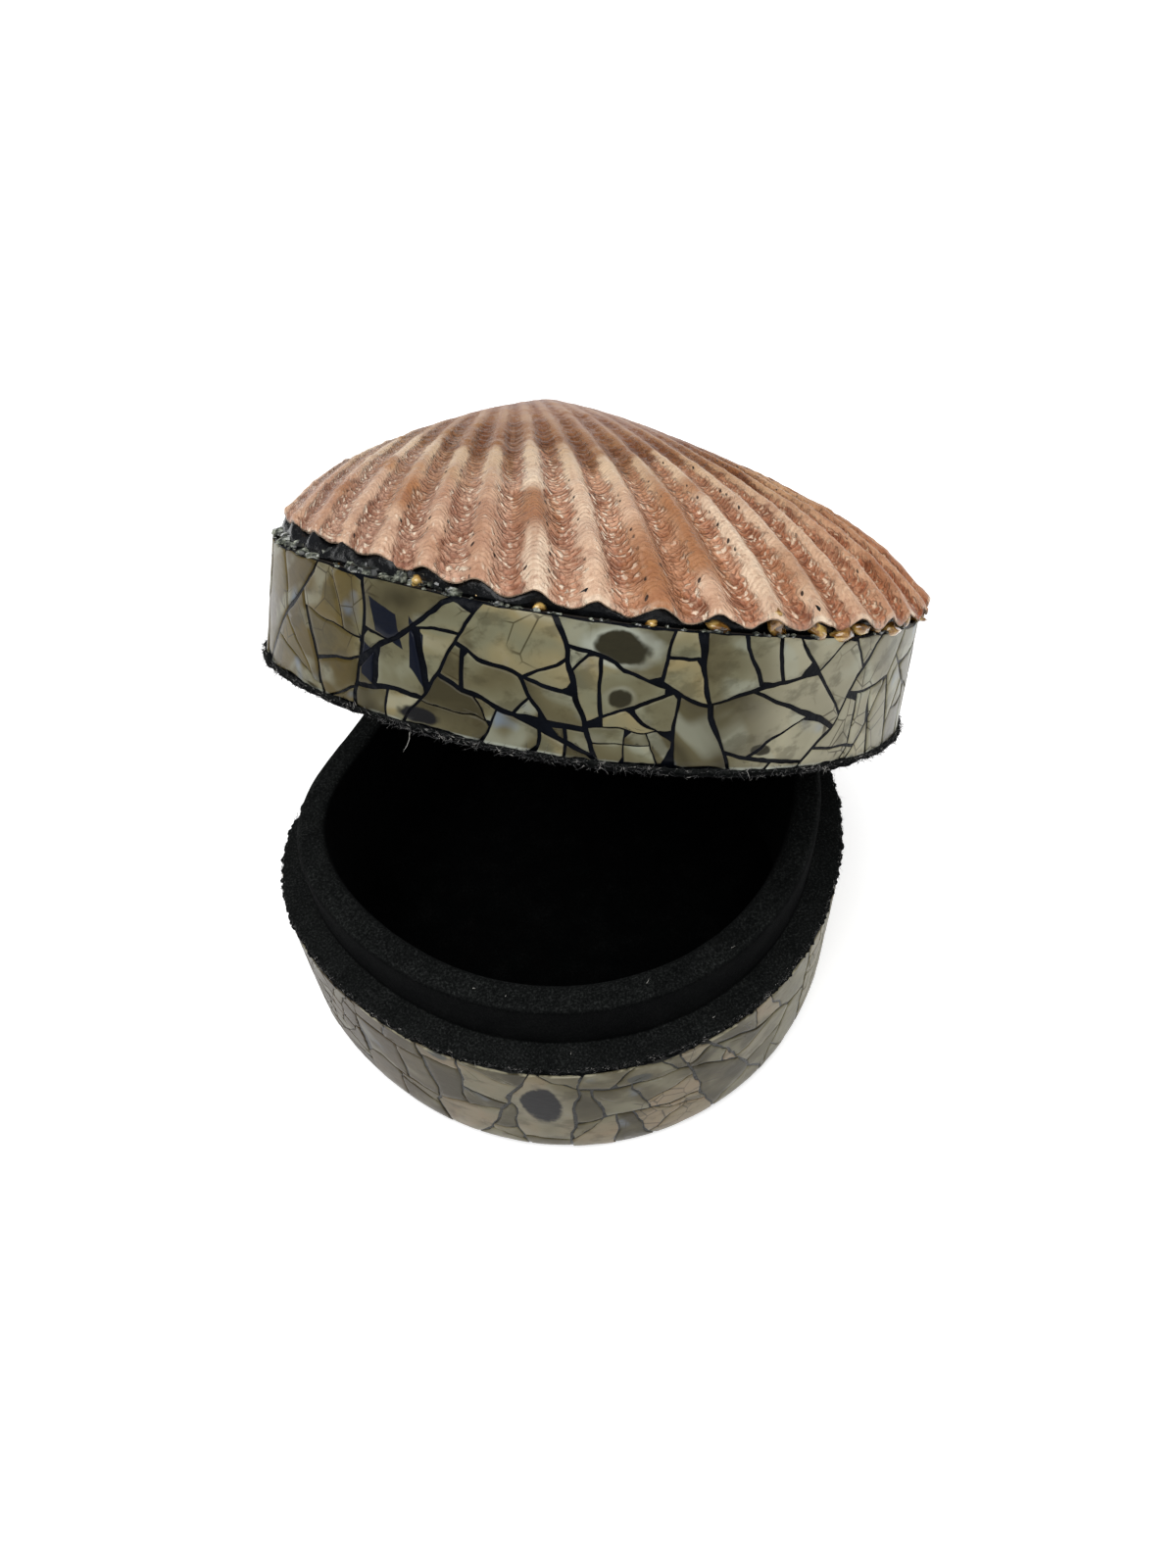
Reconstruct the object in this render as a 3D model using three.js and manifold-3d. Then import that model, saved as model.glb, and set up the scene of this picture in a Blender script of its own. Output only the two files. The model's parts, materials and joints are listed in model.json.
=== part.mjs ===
// Hinged trinket box with a scallop shell set on its lid.
// Units are millimetres and +Z is up. The front of the box faces -Y.
// The box stands on its underside with the lid open, and the cavity is empty.

import * as THREE from 'three';
import { mergeVertices } from 'three/addons/utils/BufferGeometryUtils.js';
import Module from 'manifold-3d';

const wasm = await Module();
wasm.setup();

// Outline: a rounded fan, wide at the front and narrow at the back.
// Each share is one cosine wave of the radius, with 1, 2, 3, 4 and 5 waves in a turn.
const boxHalfWidth = 38;
const outlineWaves = [0.013, 0.086, -0.075, 0.058, -0.017];
const outlineSteps = 60;

// Joints between glued or resting pieces
const glueLine = 0.25;

// Base: a case with a mosaic band outside and a velvet lining inside
const baseHeight = 21;
const baseFloor = 2.6;
const caseWall = 2.15;
const baseVeneer = 0.9;
const baseVeneerFoot = 0.5;
const footRounding = 0.5;
const footRoundingRise = 2.5;

// Velvet lining: ledge, raised collar and floor
const ledgeCloth = 0.55;
const ledgeSetback = 0.15;
const collarSetback = 3.6;
const collarWall = 3.75;
const collarRise = 7;
const collarRounding = 0.8;
const liningFloor = 1.2;

// Lid: a shallow tray turned upside down
const lidGap = 0.4;
const lidHeight = 13.4;
const lidVeneer = 0.8;
const lidTaper = 0.35;
const lidCaseWall = 0.8;
const lidPlate = 1.8;
const lidCloth = 0.4;
const lidClothEdge = 0.3;
const lidClothSetback = 0.15;

// Hinge: two leaves let into a flat seat at the back right, knuckles and a pin
const lidOpenAngle = THREE.MathUtils.degToRad(29.5);
const hingeTurn = THREE.MathUtils.degToRad(36.6);
const hingeSkew = THREE.MathUtils.degToRad(6.6);
const hingeAlong = 16.2;
const hingeStandOff = 0.25;
const hingeRise = 1.9;
const hingeLength = 11;
const hingeMiddle = 4.6;
const knuckleRadius = 1.3;
const pinRadius = 0.6;
const pinClearance = 0.08;
const pinHead = 0.5;
const leafThickness = 0.7;
const leafReach = 7;
const seatClearance = 0.3;
const knuckleGap = 0.25;

// Scallop shell: a thin ribbed dome with its beak near the back of the lid
const shellHeight = 17.4;
const shellSideShift = 0.7;
const shellWall = 1.6;
const shellLip = 0.8;
const shellFullWallShare = 0.3;
const crownLeft = 1.9;
const crownFromFront = 59.8;
const beakFromFront = 84.5;
const beakOverhang = 2.4;
const domePower = 0.71;
const frontCurve = 1.52;
const sideCurve = 1.19;
const backCurve = 1.8;
const ribCount = 27;
const ribPitch = THREE.MathUtils.degToRad(3.62);
const ribTurn = THREE.MathUtils.degToRad(0.5);
const ribDepth = 1.2;
const ribSteps = 6;
const earDrop = 0.3;
const discHalfAngle = THREE.MathUtils.degToRad(49);
const earSteps = 6;
const backSteps = 5;

// Filler bed: a ring of dark filler under the shell's margin
const fillerSetback = 1.8;
const fillerWidth = 3.4;
const fillerClearance = 0.85;

// Finishes
const finish = {
  caseBoard: { color: 0x2a221c, roughness: 0.8, metalness: 0 },
  mosaic: { color: 0x8f8c78, roughness: 0.2, metalness: 0.1 },
  velvet: { color: 0x08080a, roughness: 1, metalness: 0 },
  scallop: { color: 0xb98373, roughness: 0.35, metalness: 0 },
  filler: { color: 0x17181a, roughness: 0.4, metalness: 0 },
  brass: { color: 0xa88a4a, roughness: 0.35, metalness: 0.9 },
};

// Outline helpers

function waveShare(angle) {
  let share = 1;
  outlineWaves.forEach((wave, i) => {
    share += wave * Math.cos((i + 1) * angle);
  });
  return share;
}

function widestShare() {
  let widest = 0;
  for (let degree = 0; degree < 180; degree += 1) {
    const angle = THREE.MathUtils.degToRad(degree);
    widest = Math.max(widest, waveShare(angle) * Math.sin(angle));
  }
  return widest;
}

const meanRadius = boxHalfWidth / widestShare();

// The radius of the outline at an angle counted from the front towards +X
function outlineRadius(angle) {
  return meanRadius * waveShare(angle);
}

function outlinePoint(angle, inset) {
  const at = (a) => new THREE.Vector2(Math.sin(a), -Math.cos(a)).multiplyScalar(outlineRadius(a));
  const step = 1e-4;
  const tangent = at(angle + step).sub(at(angle - step)).normalize();
  const outward = new THREE.Vector2(tangent.y, -tangent.x);
  return at(angle).addScaledVector(outward, -inset);
}

const frontY = outlinePoint(0, 0).y;

// Solids made of rings of points

function gridGeometry(rings, closed, firstPole, lastPole) {
  const points = rings.flat();
  const count = rings[0].length;
  const index = [];
  const last = closed ? rings.length : rings.length - 1;
  for (let i = 0; i < last; i += 1) {
    const low = i * count;
    const high = ((i + 1) % rings.length) * count;
    for (let j = 0; j < count; j += 1) {
      const next = (j + 1) % count;
      index.push(low + j, low + next, high + next);
      index.push(low + j, high + next, high + j);
    }
  }
  if (firstPole) {
    points.push(firstPole);
    for (let j = 0; j < count; j += 1) {
      index.push(points.length - 1, (j + 1) % count, j);
    }
  }
  if (lastPole) {
    const top = (rings.length - 1) * count;
    points.push(lastPole);
    for (let j = 0; j < count; j += 1) {
      index.push(points.length - 1, top + j, top + ((j + 1) % count));
    }
  }
  const geometry = new THREE.BufferGeometry();
  geometry.setFromPoints(points);
  geometry.setIndex(index);
  return geometry;
}

// One ring of the outline, set in by an inset, at a height that may depend on the point
function outlineRing([inset, height]) {
  const ring = [];
  for (let i = 0; i < outlineSteps; i += 1) {
    const point = outlinePoint((i / outlineSteps) * 2 * Math.PI, inset);
    const z = typeof height === 'function' ? height(point) : height;
    ring.push(new THREE.Vector3(point.x, point.y, z));
  }
  return ring;
}

// A band is a profile of insets and heights carried round the outline
function bandGeometry(profile) {
  return gridGeometry(profile.map(outlineRing), true);
}

// A tray is the same with a middle closed at its first and last height
function trayGeometry(firstHeight, profile, lastHeight) {
  const first = new THREE.Vector3(0, 0, firstHeight);
  const last = new THREE.Vector3(0, 0, lastHeight);
  return gridGeometry(profile.map(outlineRing), false, first, last);
}

// Joining and cutting

function toSolid(geometry) {
  const plain = geometry.clone();
  plain.deleteAttribute('normal');
  plain.deleteAttribute('uv');
  const merged = mergeVertices(plain, 1e-5);
  return new wasm.Manifold(new wasm.Mesh({
    numProp: 3,
    vertProperties: new Float32Array(merged.attributes.position.array),
    triVerts: new Uint32Array(merged.index.array),
  }));
}

function toGeometry(solid) {
  const mesh = solid.getMesh();
  const geometry = new THREE.BufferGeometry();
  geometry.setAttribute('position', new THREE.BufferAttribute(new Float32Array(mesh.vertProperties), 3));
  geometry.setIndex(new THREE.BufferAttribute(new Uint32Array(mesh.triVerts), 1));
  return geometry;
}

// Hinge frame: X runs along the pin, Y points into the box and Z is up

function hingeSupport() {
  let reach = 0;
  for (let step = 0; step < 720; step += 1) {
    const point = outlinePoint((step / 720) * 2 * Math.PI, 0);
    reach = Math.max(reach, point.x * Math.sin(hingeTurn) + point.y * Math.cos(hingeTurn));
  }
  return reach + hingeStandOff;
}

const hingeOutward = new THREE.Vector3(Math.sin(hingeTurn), Math.cos(hingeTurn), 0);
const hingeLevelAxis = new THREE.Vector3(-Math.cos(hingeTurn), Math.sin(hingeTurn), 0);
const hingeCentre = hingeOutward.clone().multiplyScalar(hingeSupport())
  .addScaledVector(hingeLevelAxis, hingeAlong)
  .add(new THREE.Vector3(0, 0, baseHeight + hingeRise));
const hingeAxis = hingeLevelAxis.clone().multiplyScalar(Math.cos(hingeSkew))
  .add(new THREE.Vector3(0, 0, Math.sin(hingeSkew)));
const hingeInward = hingeOutward.clone().negate();
const hingeFrame = new THREE.Matrix4()
  .makeBasis(hingeAxis, hingeInward, hingeAxis.clone().cross(hingeInward))
  .setPosition(hingeCentre);

// The leaves lie flat against the seat, tangent to the knuckles
const leafBack = knuckleRadius;
const leafFront = leafBack - leafThickness;
const seatDepth = leafBack + glueLine;

function hingeBox(x0, x1, y0, y1, z0, z1) {
  const box = new THREE.BoxGeometry(x1 - x0, y1 - y0, z1 - z0);
  return box.translate((x0 + x1) / 2, (y0 + y1) / 2, (z0 + z1) / 2);
}

function seatCutter() {
  const side = hingeLength / 2 + pinHead + seatClearance;
  const reach = leafReach + seatClearance;
  const outside = 2 * boxHalfWidth;
  return toSolid(hingeBox(-side, side, -outside, seatDepth, -reach, reach).applyMatrix4(hingeFrame));
}

function withHingeSeat(geometry) {
  return toGeometry(toSolid(geometry).subtract(seatCutter()));
}

function pinCylinder(radius, x0, x1, sides = 20) {
  const cylinder = new THREE.CylinderGeometry(radius, radius, x1 - x0, sides);
  return cylinder.rotateZ(Math.PI / 2).translate((x0 + x1) / 2, 0, 0);
}

// One leaf: a plate that reaches down or up, its knuckles, a bore and room for the other knuckles
function hingeLeaf(direction, knuckles, rooms) {
  const half = hingeLength / 2;
  const plate = direction < 0
    ? hingeBox(-half, half, leafFront, leafBack, -leafReach, 0)
    : hingeBox(-half, half, leafFront, leafBack, 0, leafReach);
  let leaf = toSolid(plate);
  const room = knuckleRadius + pinClearance + knuckleGap;
  rooms.forEach(([x0, x1]) => {
    leaf = leaf.subtract(toSolid(hingeBox(x0, x1, -room, room, -room, room)));
  });
  knuckles.forEach(([x0, x1]) => {
    leaf = leaf.add(toSolid(pinCylinder(knuckleRadius, x0, x1)));
  });
  const bore = toSolid(pinCylinder(pinRadius + pinClearance, -hingeLength, hingeLength));
  return toGeometry(leaf.subtract(bore));
}

const sideKnuckles = [
  [-hingeLength / 2, -hingeMiddle / 2 - knuckleGap],
  [hingeMiddle / 2 + knuckleGap, hingeLength / 2],
];
const middleKnuckle = [[-hingeMiddle / 2, hingeMiddle / 2]];

function baseLeafGeometry() {
  const room = [[-hingeMiddle / 2 - knuckleGap, hingeMiddle / 2 + knuckleGap]];
  return hingeLeaf(-1, sideKnuckles, room);
}

function lidLeafGeometry() {
  const half = hingeLength / 2 + knuckleGap;
  const rooms = [[-half, -hingeMiddle / 2], [hingeMiddle / 2, half]];
  return hingeLeaf(1, middleKnuckle, rooms);
}

function hingePinGeometry() {
  const end = hingeLength / 2;
  const shaft = toSolid(pinCylinder(pinRadius, -end - pinHead, end + pinHead));
  const gap = knuckleGap / 2;
  const heads = [[-end - pinHead, -end - gap], [end + gap, end + pinHead]];
  const pin = heads.reduce(
    (solid, [x0, x1]) => solid.add(toSolid(pinCylinder(knuckleRadius * 0.8, x0, x1))),
    shaft,
  );
  return toGeometry(pin);
}

// Base

function baseCaseGeometry() {
  const outside = baseVeneer + glueLine;
  const inside = outside + caseWall;
  const top = baseHeight - ledgeCloth - glueLine;
  return withHingeSeat(trayGeometry(0, [
    [outside, 0], [outside, top], [inside, top], [inside, baseFloor],
  ], baseFloor));
}

function baseMosaicGeometry() {
  const top = baseHeight - ledgeCloth - glueLine;
  return withHingeSeat(bandGeometry([
    [baseVeneer, baseVeneerFoot],
    [footRounding, baseVeneerFoot],
    [footRounding / 4, baseVeneerFoot + footRoundingRise / 2],
    [0, baseVeneerFoot + footRoundingRise],
    [0, top],
    [baseVeneer, top],
  ]));
}

function baseLiningGeometry() {
  const outside = baseVeneer + caseWall + 2 * glueLine;
  const inside = collarSetback + collarWall;
  const bottom = baseFloor + glueLine;
  const ledgeUnder = baseHeight - ledgeCloth;
  const collarTop = baseHeight + collarRise;
  return withHingeSeat(trayGeometry(bottom, [
    [outside, bottom],
    [outside, ledgeUnder],
    [ledgeSetback, ledgeUnder],
    [ledgeSetback, baseHeight],
    [collarSetback, baseHeight],
    [collarSetback, collarTop - collarRounding],
    [collarSetback + collarRounding, collarTop],
    [inside - collarRounding, collarTop],
    [inside, collarTop - collarRounding],
    [inside, bottom + liningFloor],
  ], bottom + liningFloor));
}

// Lid, modelled closed on the base

const lidFoot = baseHeight + lidGap;
const lidBoardFoot = lidFoot + lidClothEdge + glueLine;
const lidTop = baseHeight + lidHeight;

function lidCaseGeometry() {
  const outside = lidVeneer + glueLine;
  const inside = outside + lidCaseWall;
  const ceiling = lidTop - lidPlate;
  return withHingeSeat(trayGeometry(ceiling, [
    [inside, ceiling], [inside, lidBoardFoot], [outside, lidBoardFoot], [outside, lidTop],
  ], lidTop));
}

function lidMosaicGeometry() {
  return withHingeSeat(bandGeometry([
    [lidVeneer, lidBoardFoot], [0, lidBoardFoot], [lidTaper, lidTop], [lidVeneer, lidTop],
  ]));
}

function lidLiningGeometry() {
  const outside = lidVeneer + lidCaseWall + 2 * glueLine;
  const inside = outside + lidCloth;
  const top = lidTop - lidPlate - glueLine;
  return withHingeSeat(trayGeometry(top - lidCloth, [
    [inside, top - lidCloth],
    [inside, lidFoot],
    [lidClothSetback, lidFoot],
    [lidClothSetback, lidFoot + lidClothEdge],
    [outside, lidFoot + lidClothEdge],
    [outside, top],
  ], top));
}

// Scallop shell: its height above the lid over any point of the plan

const crown = new THREE.Vector2(shellSideShift - crownLeft, frontY + crownFromFront);
const beak = new THREE.Vector2(shellSideShift, frontY + beakFromFront);
const discTip = new THREE.Vector2(beak.x, beak.y + beakOverhang);
const crestLift = glueLine + shellLip + ribDepth;

function insideShare(point) {
  const x = point.x - shellSideShift;
  return Math.hypot(x, point.y) / outlineRadius(Math.atan2(x, -point.y));
}

// How far a ray runs before it meets the margin, found by halving
function reachToMargin(from, direction) {
  let near = 0;
  let far = 4 * boxHalfWidth;
  for (let i = 0; i < 40; i += 1) {
    const middle = (near + far) / 2;
    if (insideShare(from.clone().addScaledVector(direction, middle)) < 1) {
      near = middle;
    } else {
      far = middle;
    }
  }
  return near;
}

// The same for the disc, which two straight flanks cut off beside the beak
function reachToDiscEdge(direction) {
  let reach = reachToMargin(crown, direction);
  [-1, 1].forEach((side) => {
    const flank = new THREE.Vector2(side * Math.cos(discHalfAngle), Math.sin(discHalfAngle));
    const towards = flank.dot(direction);
    if (towards > 0) {
      reach = Math.min(reach, flank.dot(discTip.clone().sub(crown)) / towards);
    }
  });
  return reach;
}

function domeShare(point) {
  const offset = point.clone().sub(crown);
  const distance = offset.length();
  if (distance < 1e-6) {
    return 1;
  }
  const direction = offset.divideScalar(distance);
  const share = Math.min(1, distance / reachToDiscEdge(direction));
  const forward = -direction.y;
  const farCurve = forward > 0 ? frontCurve : backCurve;
  const curve = sideCurve + (farCurve - sideCurve) * forward * forward;
  return (1 - share ** curve) ** domePower;
}

// How far the face lies below the crests: a wave over the ribs, and a flat step on the ears
function ribDrop(angle, along) {
  const turns = (angle - ribTurn) / ribPitch;
  const wave = Math.abs(turns) < ribCount / 2 ? 0.5 - 0.5 * Math.cos(2 * Math.PI * turns) : earDrop;
  return ribDepth * wave * along;
}

function shellWallAt(share) {
  return THREE.MathUtils.lerp(shellLip, shellWall, Math.min(1, share / shellFullWallShare));
}

// A point of the outer face and the wall under it, which thins to a lip at the margin and ears
function shellPoint(angle, along) {
  const direction = new THREE.Vector2(Math.sin(angle), -Math.cos(angle));
  const point = beak.clone().addScaledVector(direction, along * reachToMargin(beak, direction));
  const share = domeShare(point);
  const z = lidTop + crestLift + (shellHeight - crestLift) * share - ribDrop(angle, along);
  return { top: new THREE.Vector3(point.x, point.y, z), wall: shellWallAt(share) };
}

// Rays from the beak: several on each rib, then across each ear and the back
function shellAngles() {
  const half = (ribCount / 2) * ribPitch;
  const angles = [];
  for (let i = 0; i < ribCount * ribSteps; i += 1) {
    angles.push(ribTurn - half + (i / ribSteps) * ribPitch);
  }
  const stops = [ribTurn + half, Math.PI * 0.75, Math.PI * 1.25, 2 * Math.PI + ribTurn - half];
  [earSteps, backSteps, earSteps].forEach((steps, part) => {
    for (let i = 0; i < steps; i += 1) {
      angles.push(THREE.MathUtils.lerp(stops[part], stops[part + 1], i / steps));
    }
  });
  return angles;
}

function scallopGeometry() {
  const innerRows = [0.2, 0.42, 0.7, 0.92, 1];
  const outerRows = [1, 0.96, 0.9, 0.8, 0.66, 0.5, 0.34, 0.2, 0.09];
  const angles = shellAngles();
  const outer = ({ top }) => top;
  const inner = ({ top, wall }) => new THREE.Vector3(top.x, top.y, top.z - wall);
  const row = (along, side) => angles.map((angle) => side(shellPoint(angle, along)));
  const rings = [
    ...innerRows.map((along) => row(along, inner)),
    ...outerRows.map((along) => row(along, outer)),
  ];
  const tip = shellPoint(0, 0);
  return gridGeometry(rings, false, inner(tip), outer(tip));
}

// Filler bed, whose top stays below the grooves of the ribs

function fillerGeometry() {
  const ribbedAngle = (ribCount / 2 + 1) * ribPitch;
  const underShell = (point) => {
    const share = domeShare(point);
    const angle = Math.atan2(point.x - beak.x, beak.y - point.y);
    const drop = Math.abs(angle) < ribbedAngle ? ribDepth : ribDepth * earDrop;
    const dome = (shellHeight - crestLift) * share;
    return lidTop + crestLift + dome - drop - shellWallAt(share) - fillerClearance;
  };
  const bottom = lidTop + glueLine;
  const inner = fillerSetback + fillerWidth;
  return bandGeometry([
    [inner, bottom], [fillerSetback, bottom], [fillerSetback, underShell], [inner, underShell],
  ]);
}

// Assembly

function piece(name, geometry, look) {
  const mesh = new THREE.Mesh(geometry, new THREE.MeshStandardMaterial(look));
  mesh.name = name;
  return mesh;
}

function inHingeFrame(mesh) {
  const group = new THREE.Group();
  group.applyMatrix4(hingeFrame);
  group.add(mesh);
  return group;
}

const lidClosed = new THREE.Group();
lidClosed.position.copy(hingeCentre).negate();
lidClosed.add(
  piece('lid_case', lidCaseGeometry(), finish.caseBoard),
  piece('lid_mosaic', lidMosaicGeometry(), finish.mosaic),
  piece('lid_lining', lidLiningGeometry(), finish.velvet),
  piece('scallop_shell', scallopGeometry(), finish.scallop),
  piece('shell_filler', fillerGeometry(), finish.filler),
  inHingeFrame(piece('hinge_lid_leaf', lidLeafGeometry(), finish.brass)),
);

const lid = new THREE.Group();
lid.position.copy(hingeCentre);
lid.quaternion.setFromAxisAngle(hingeAxis, lidOpenAngle);
lid.add(lidClosed);

const shellBox = new THREE.Group();
shellBox.add(
  piece('base_case', baseCaseGeometry(), finish.caseBoard),
  piece('base_mosaic', baseMosaicGeometry(), finish.mosaic),
  piece('base_lining', baseLiningGeometry(), finish.velvet),
  inHingeFrame(piece('hinge_base_leaf', baseLeafGeometry(), finish.brass)),
  inHingeFrame(piece('hinge_pin', hingePinGeometry(), finish.brass)),
  lid,
);

export default shellBox;
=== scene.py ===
import json
import math

import bpy
import numpy as np
from mathutils import Matrix


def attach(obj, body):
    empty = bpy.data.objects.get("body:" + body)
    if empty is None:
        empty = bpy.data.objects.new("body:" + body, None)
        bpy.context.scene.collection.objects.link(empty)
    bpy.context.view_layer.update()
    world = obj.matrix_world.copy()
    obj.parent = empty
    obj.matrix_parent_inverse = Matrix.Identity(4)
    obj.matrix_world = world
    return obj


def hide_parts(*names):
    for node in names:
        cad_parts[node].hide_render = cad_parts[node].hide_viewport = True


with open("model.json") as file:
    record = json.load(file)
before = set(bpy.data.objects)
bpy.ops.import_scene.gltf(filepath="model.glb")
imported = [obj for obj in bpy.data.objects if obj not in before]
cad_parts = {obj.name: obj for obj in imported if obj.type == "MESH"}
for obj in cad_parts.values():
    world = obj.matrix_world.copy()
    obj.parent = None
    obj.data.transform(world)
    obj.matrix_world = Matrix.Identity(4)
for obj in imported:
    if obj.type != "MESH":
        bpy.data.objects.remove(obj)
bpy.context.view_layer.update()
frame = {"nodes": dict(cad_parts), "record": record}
mm = 0.001
scene = bpy.context.scene

# The camera, at the photograph's angle. Lengths are in millimetres, angles in radians.
lens = {
    "focalLength": 23.762, "sensor": 36.0,
    "azimuth": -0.234016, "elevation": 0.831232, "roll": -0.060134,
    "distance": 158.309, "aimX": 4.4496, "aimY": 15.7331,
}


def placeCamera():
    az, el, roll = lens["azimuth"], lens["elevation"], lens["roll"]
    ahead = np.array([-math.sin(az) * math.cos(el), math.cos(az) * math.cos(el), -math.sin(el)])
    right = np.array([math.cos(az), math.sin(az), 0.0])
    above = np.cross(right, ahead)
    rightRolled = math.cos(roll) * right + math.sin(roll) * above
    aboveRolled = -math.sin(roll) * right + math.cos(roll) * above
    place = (-lens["distance"] * ahead + lens["aimX"] * right + lens["aimY"] * above) * mm
    data = bpy.data.cameras.new("photo_camera")
    data.sensor_width = lens["sensor"]
    data.lens = lens["focalLength"]
    data.clip_start = 0.01
    camera = bpy.data.objects.new("photo_camera", data)
    scene.collection.objects.link(camera)
    turned = np.eye(4)
    turned[:3, 0], turned[:3, 1], turned[:3, 2], turned[:3, 3] = rightRolled, aboveRolled, -ahead, place
    camera.matrix_world = Matrix(turned.tolist())
    scene.camera = camera


placeCamera()
print("camera is placed")

# Shader recipes


class Wire:
    # A socket's value: each operator on it adds one Math node
    def __init__(self, recipe, socket):
        self.recipe = recipe
        self.socket = socket

    def math(self, operation, first, second, clamp=False):
        settings = {"operation": operation, "use_clamp": clamp}
        return self.recipe.node("Math", settings, {0: first, 1: second})

    def __add__(self, other):
        return self.math("ADD", self, other)

    def __radd__(self, other):
        return self.math("ADD", other, self)

    def __sub__(self, other):
        return self.math("SUBTRACT", self, other)

    def __rsub__(self, other):
        return self.math("SUBTRACT", other, self)

    def __mul__(self, other):
        return self.math("MULTIPLY", self, other)

    def __rmul__(self, other):
        return self.math("MULTIPLY", other, self)

    def most(self, other):
        return self.math("MAXIMUM", self, other)

    def clamped(self):
        return self.math("ADD", self, 0.0, True)

    def wave(self):
        return self.math("SINE", self, 0.0)

    def step(self, low, high):
        # Smooth step from 0 at low to 1 at high
        settings = {"interpolation_type": "SMOOTHSTEP"}
        return self.recipe.node("MapRange", settings, {0: self, 1: low, 2: high, 3: 0.0, 4: 1.0})


class Recipe:
    # One material on the Principled shader, built node by node
    def __init__(self, name, **constants):
        self.material = bpy.data.materials.new(name)
        self.material.use_nodes = True
        self.tree = self.material.node_tree
        self.shader = self.tree.nodes["Principled BSDF"]
        self.feed(self.shader, constants)

    def feed(self, node, sockets):
        for key, value in sockets.items():
            socket = node.inputs[key]
            if isinstance(value, Wire):
                self.tree.links.new(value.socket, socket)
            elif hasattr(value, "__len__") and len(value) == 3 and socket.type == "RGBA":
                socket.default_value = (*value, 1.0)
            else:
                socket.default_value = value

    def node(self, kind, settings=None, sockets=None, output=0):
        made = self.tree.nodes.new("ShaderNode" + kind)
        for key, value in (settings or {}).items():
            if key == "stops":
                ramp = made.color_ramp
                while len(ramp.elements) < len(value):
                    ramp.elements.new(0.5)
                for element, (position, colour) in zip(ramp.elements, value):
                    element.position = position
                    element.color = (*colour, 1.0)
            else:
                setattr(made, key, value)
        self.feed(made, sockets or {})
        return Wire(self, made.outputs[output])

    def place(self):
        return self.node("TexCoord", output=3)

    def attribute(self, name, output=2):
        return self.node("Attribute", {"attribute_name": name}, output=output)

    def scaled(self, vector, scale):
        return self.node("Mapping", None, {0: vector, 3: scale})

    def joined(self, x, y, z=0.0):
        return self.node("CombineXYZ", None, {0: x, 1: y, 2: z})

    def upright(self, vector):
        return self.node("SeparateXYZ", None, {0: vector}, 2)

    def layered(self, colour, *layers):
        # Lays each colour over the ones before it, at the weight that stands beside it
        for weight, tint in layers:
            colour = self.mix(weight, colour, tint)
        return colour

    def noise(self, vector, scale, detail=3.0, rough=0.5, distortion=0.0):
        sockets = {"Vector": vector, "Scale": scale, "Detail": detail, "Roughness": rough,
                   "Distortion": distortion}
        return self.node("TexNoise", None, sockets)

    def cells(self, vector, scale, feature="F1", output=0, randomness=1.0):
        sockets = {"Vector": vector, "Scale": scale, "Randomness": randomness}
        return self.node("TexVoronoi", {"feature": feature}, sockets, output)

    def mix(self, factor, first, second, blend="MIX"):
        settings = {"data_type": "RGBA", "blend_type": blend}
        return self.node("Mix", settings, {0: factor, 6: first, 7: second}, 2)

    def ramp(self, factor, stops):
        return self.node("ValToRGB", {"stops": stops}, {0: factor})

    def bump(self, height, strength, distance):
        return self.node("Bump", None, {"Height": height, "Strength": strength, "Distance": distance})

    def finish(self, **sockets):
        self.feed(self.shader, {key.replace("_", " "): value for key, value in sockets.items()})
        return self.material


# Random fields over arrays of points

lattice = np.random.default_rng(7).random((64, 64, 64))


def noiseAt(points, size, shift=0):
    # Value noise from -1 to 1: random numbers on a cubic lattice of that size, blended smoothly between
    p = np.asarray(points, float) / size + 17.31 * (shift + 1)
    low = np.floor(p).astype(int)
    t = p - low
    t = t * t * (3 - 2 * t)
    total = 0
    for dx in (0, 1):
        for dy in (0, 1):
            for dz in (0, 1):
                weight = (np.abs(1 - dx - t[..., 0]) * np.abs(1 - dy - t[..., 1])
                          * np.abs(1 - dz - t[..., 2]))
                total = total + weight * lattice[(low[..., 0] + dx) % 64, (low[..., 1] + dy) % 64,
                                                 (low[..., 2] + dz) % 64]
    return 2 * total - 1


def roughAt(points, size, octaves=3, shift=0):
    # Octaves of that noise, each half as large and half as high as the one before
    return sum(noiseAt(points, size / 2 ** k, shift + 3 * k) / 2 ** k for k in range(octaves))


def smoothStep(x, low, high):
    t = np.clip((x - low) / (high - low), 0, 1)
    return t * t * (3 - 2 * t)


# The outline of the box, seen from above. All lengths are in millimetres.
box = {
    "halfWidth": 38.0, "waves": [0.013, 0.086, -0.075, 0.058, -0.017],
    "lidFoot": 21.4, "lidBoardFoot": 21.95, "lidTop": 34.4, "lidTaper": 0.35,
}


def waveShare(angle):
    # 1 plus cosine waves once to five times round
    return 1 + sum(w * np.cos((k + 1) * angle) for k, w in enumerate(box["waves"]))


manyAngles = np.linspace(0, 2 * np.pi, 7201)
meanRadius = box["halfWidth"] / np.max(waveShare(manyAngles) * np.sin(manyAngles))


def outlineRadius(angle):
    return meanRadius * waveShare(angle)


def rawOutline(angle):
    radius = outlineRadius(angle)
    return np.stack([radius * np.sin(angle), -radius * np.cos(angle)], -1)


outlinePoints = rawOutline(manyAngles)
outlineLengths = np.r_[0, np.cumsum(np.hypot(*np.diff(outlinePoints, axis=0).T))]
perimeter = outlineLengths[-1]
frontY = outlinePoints[0, 1]


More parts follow.
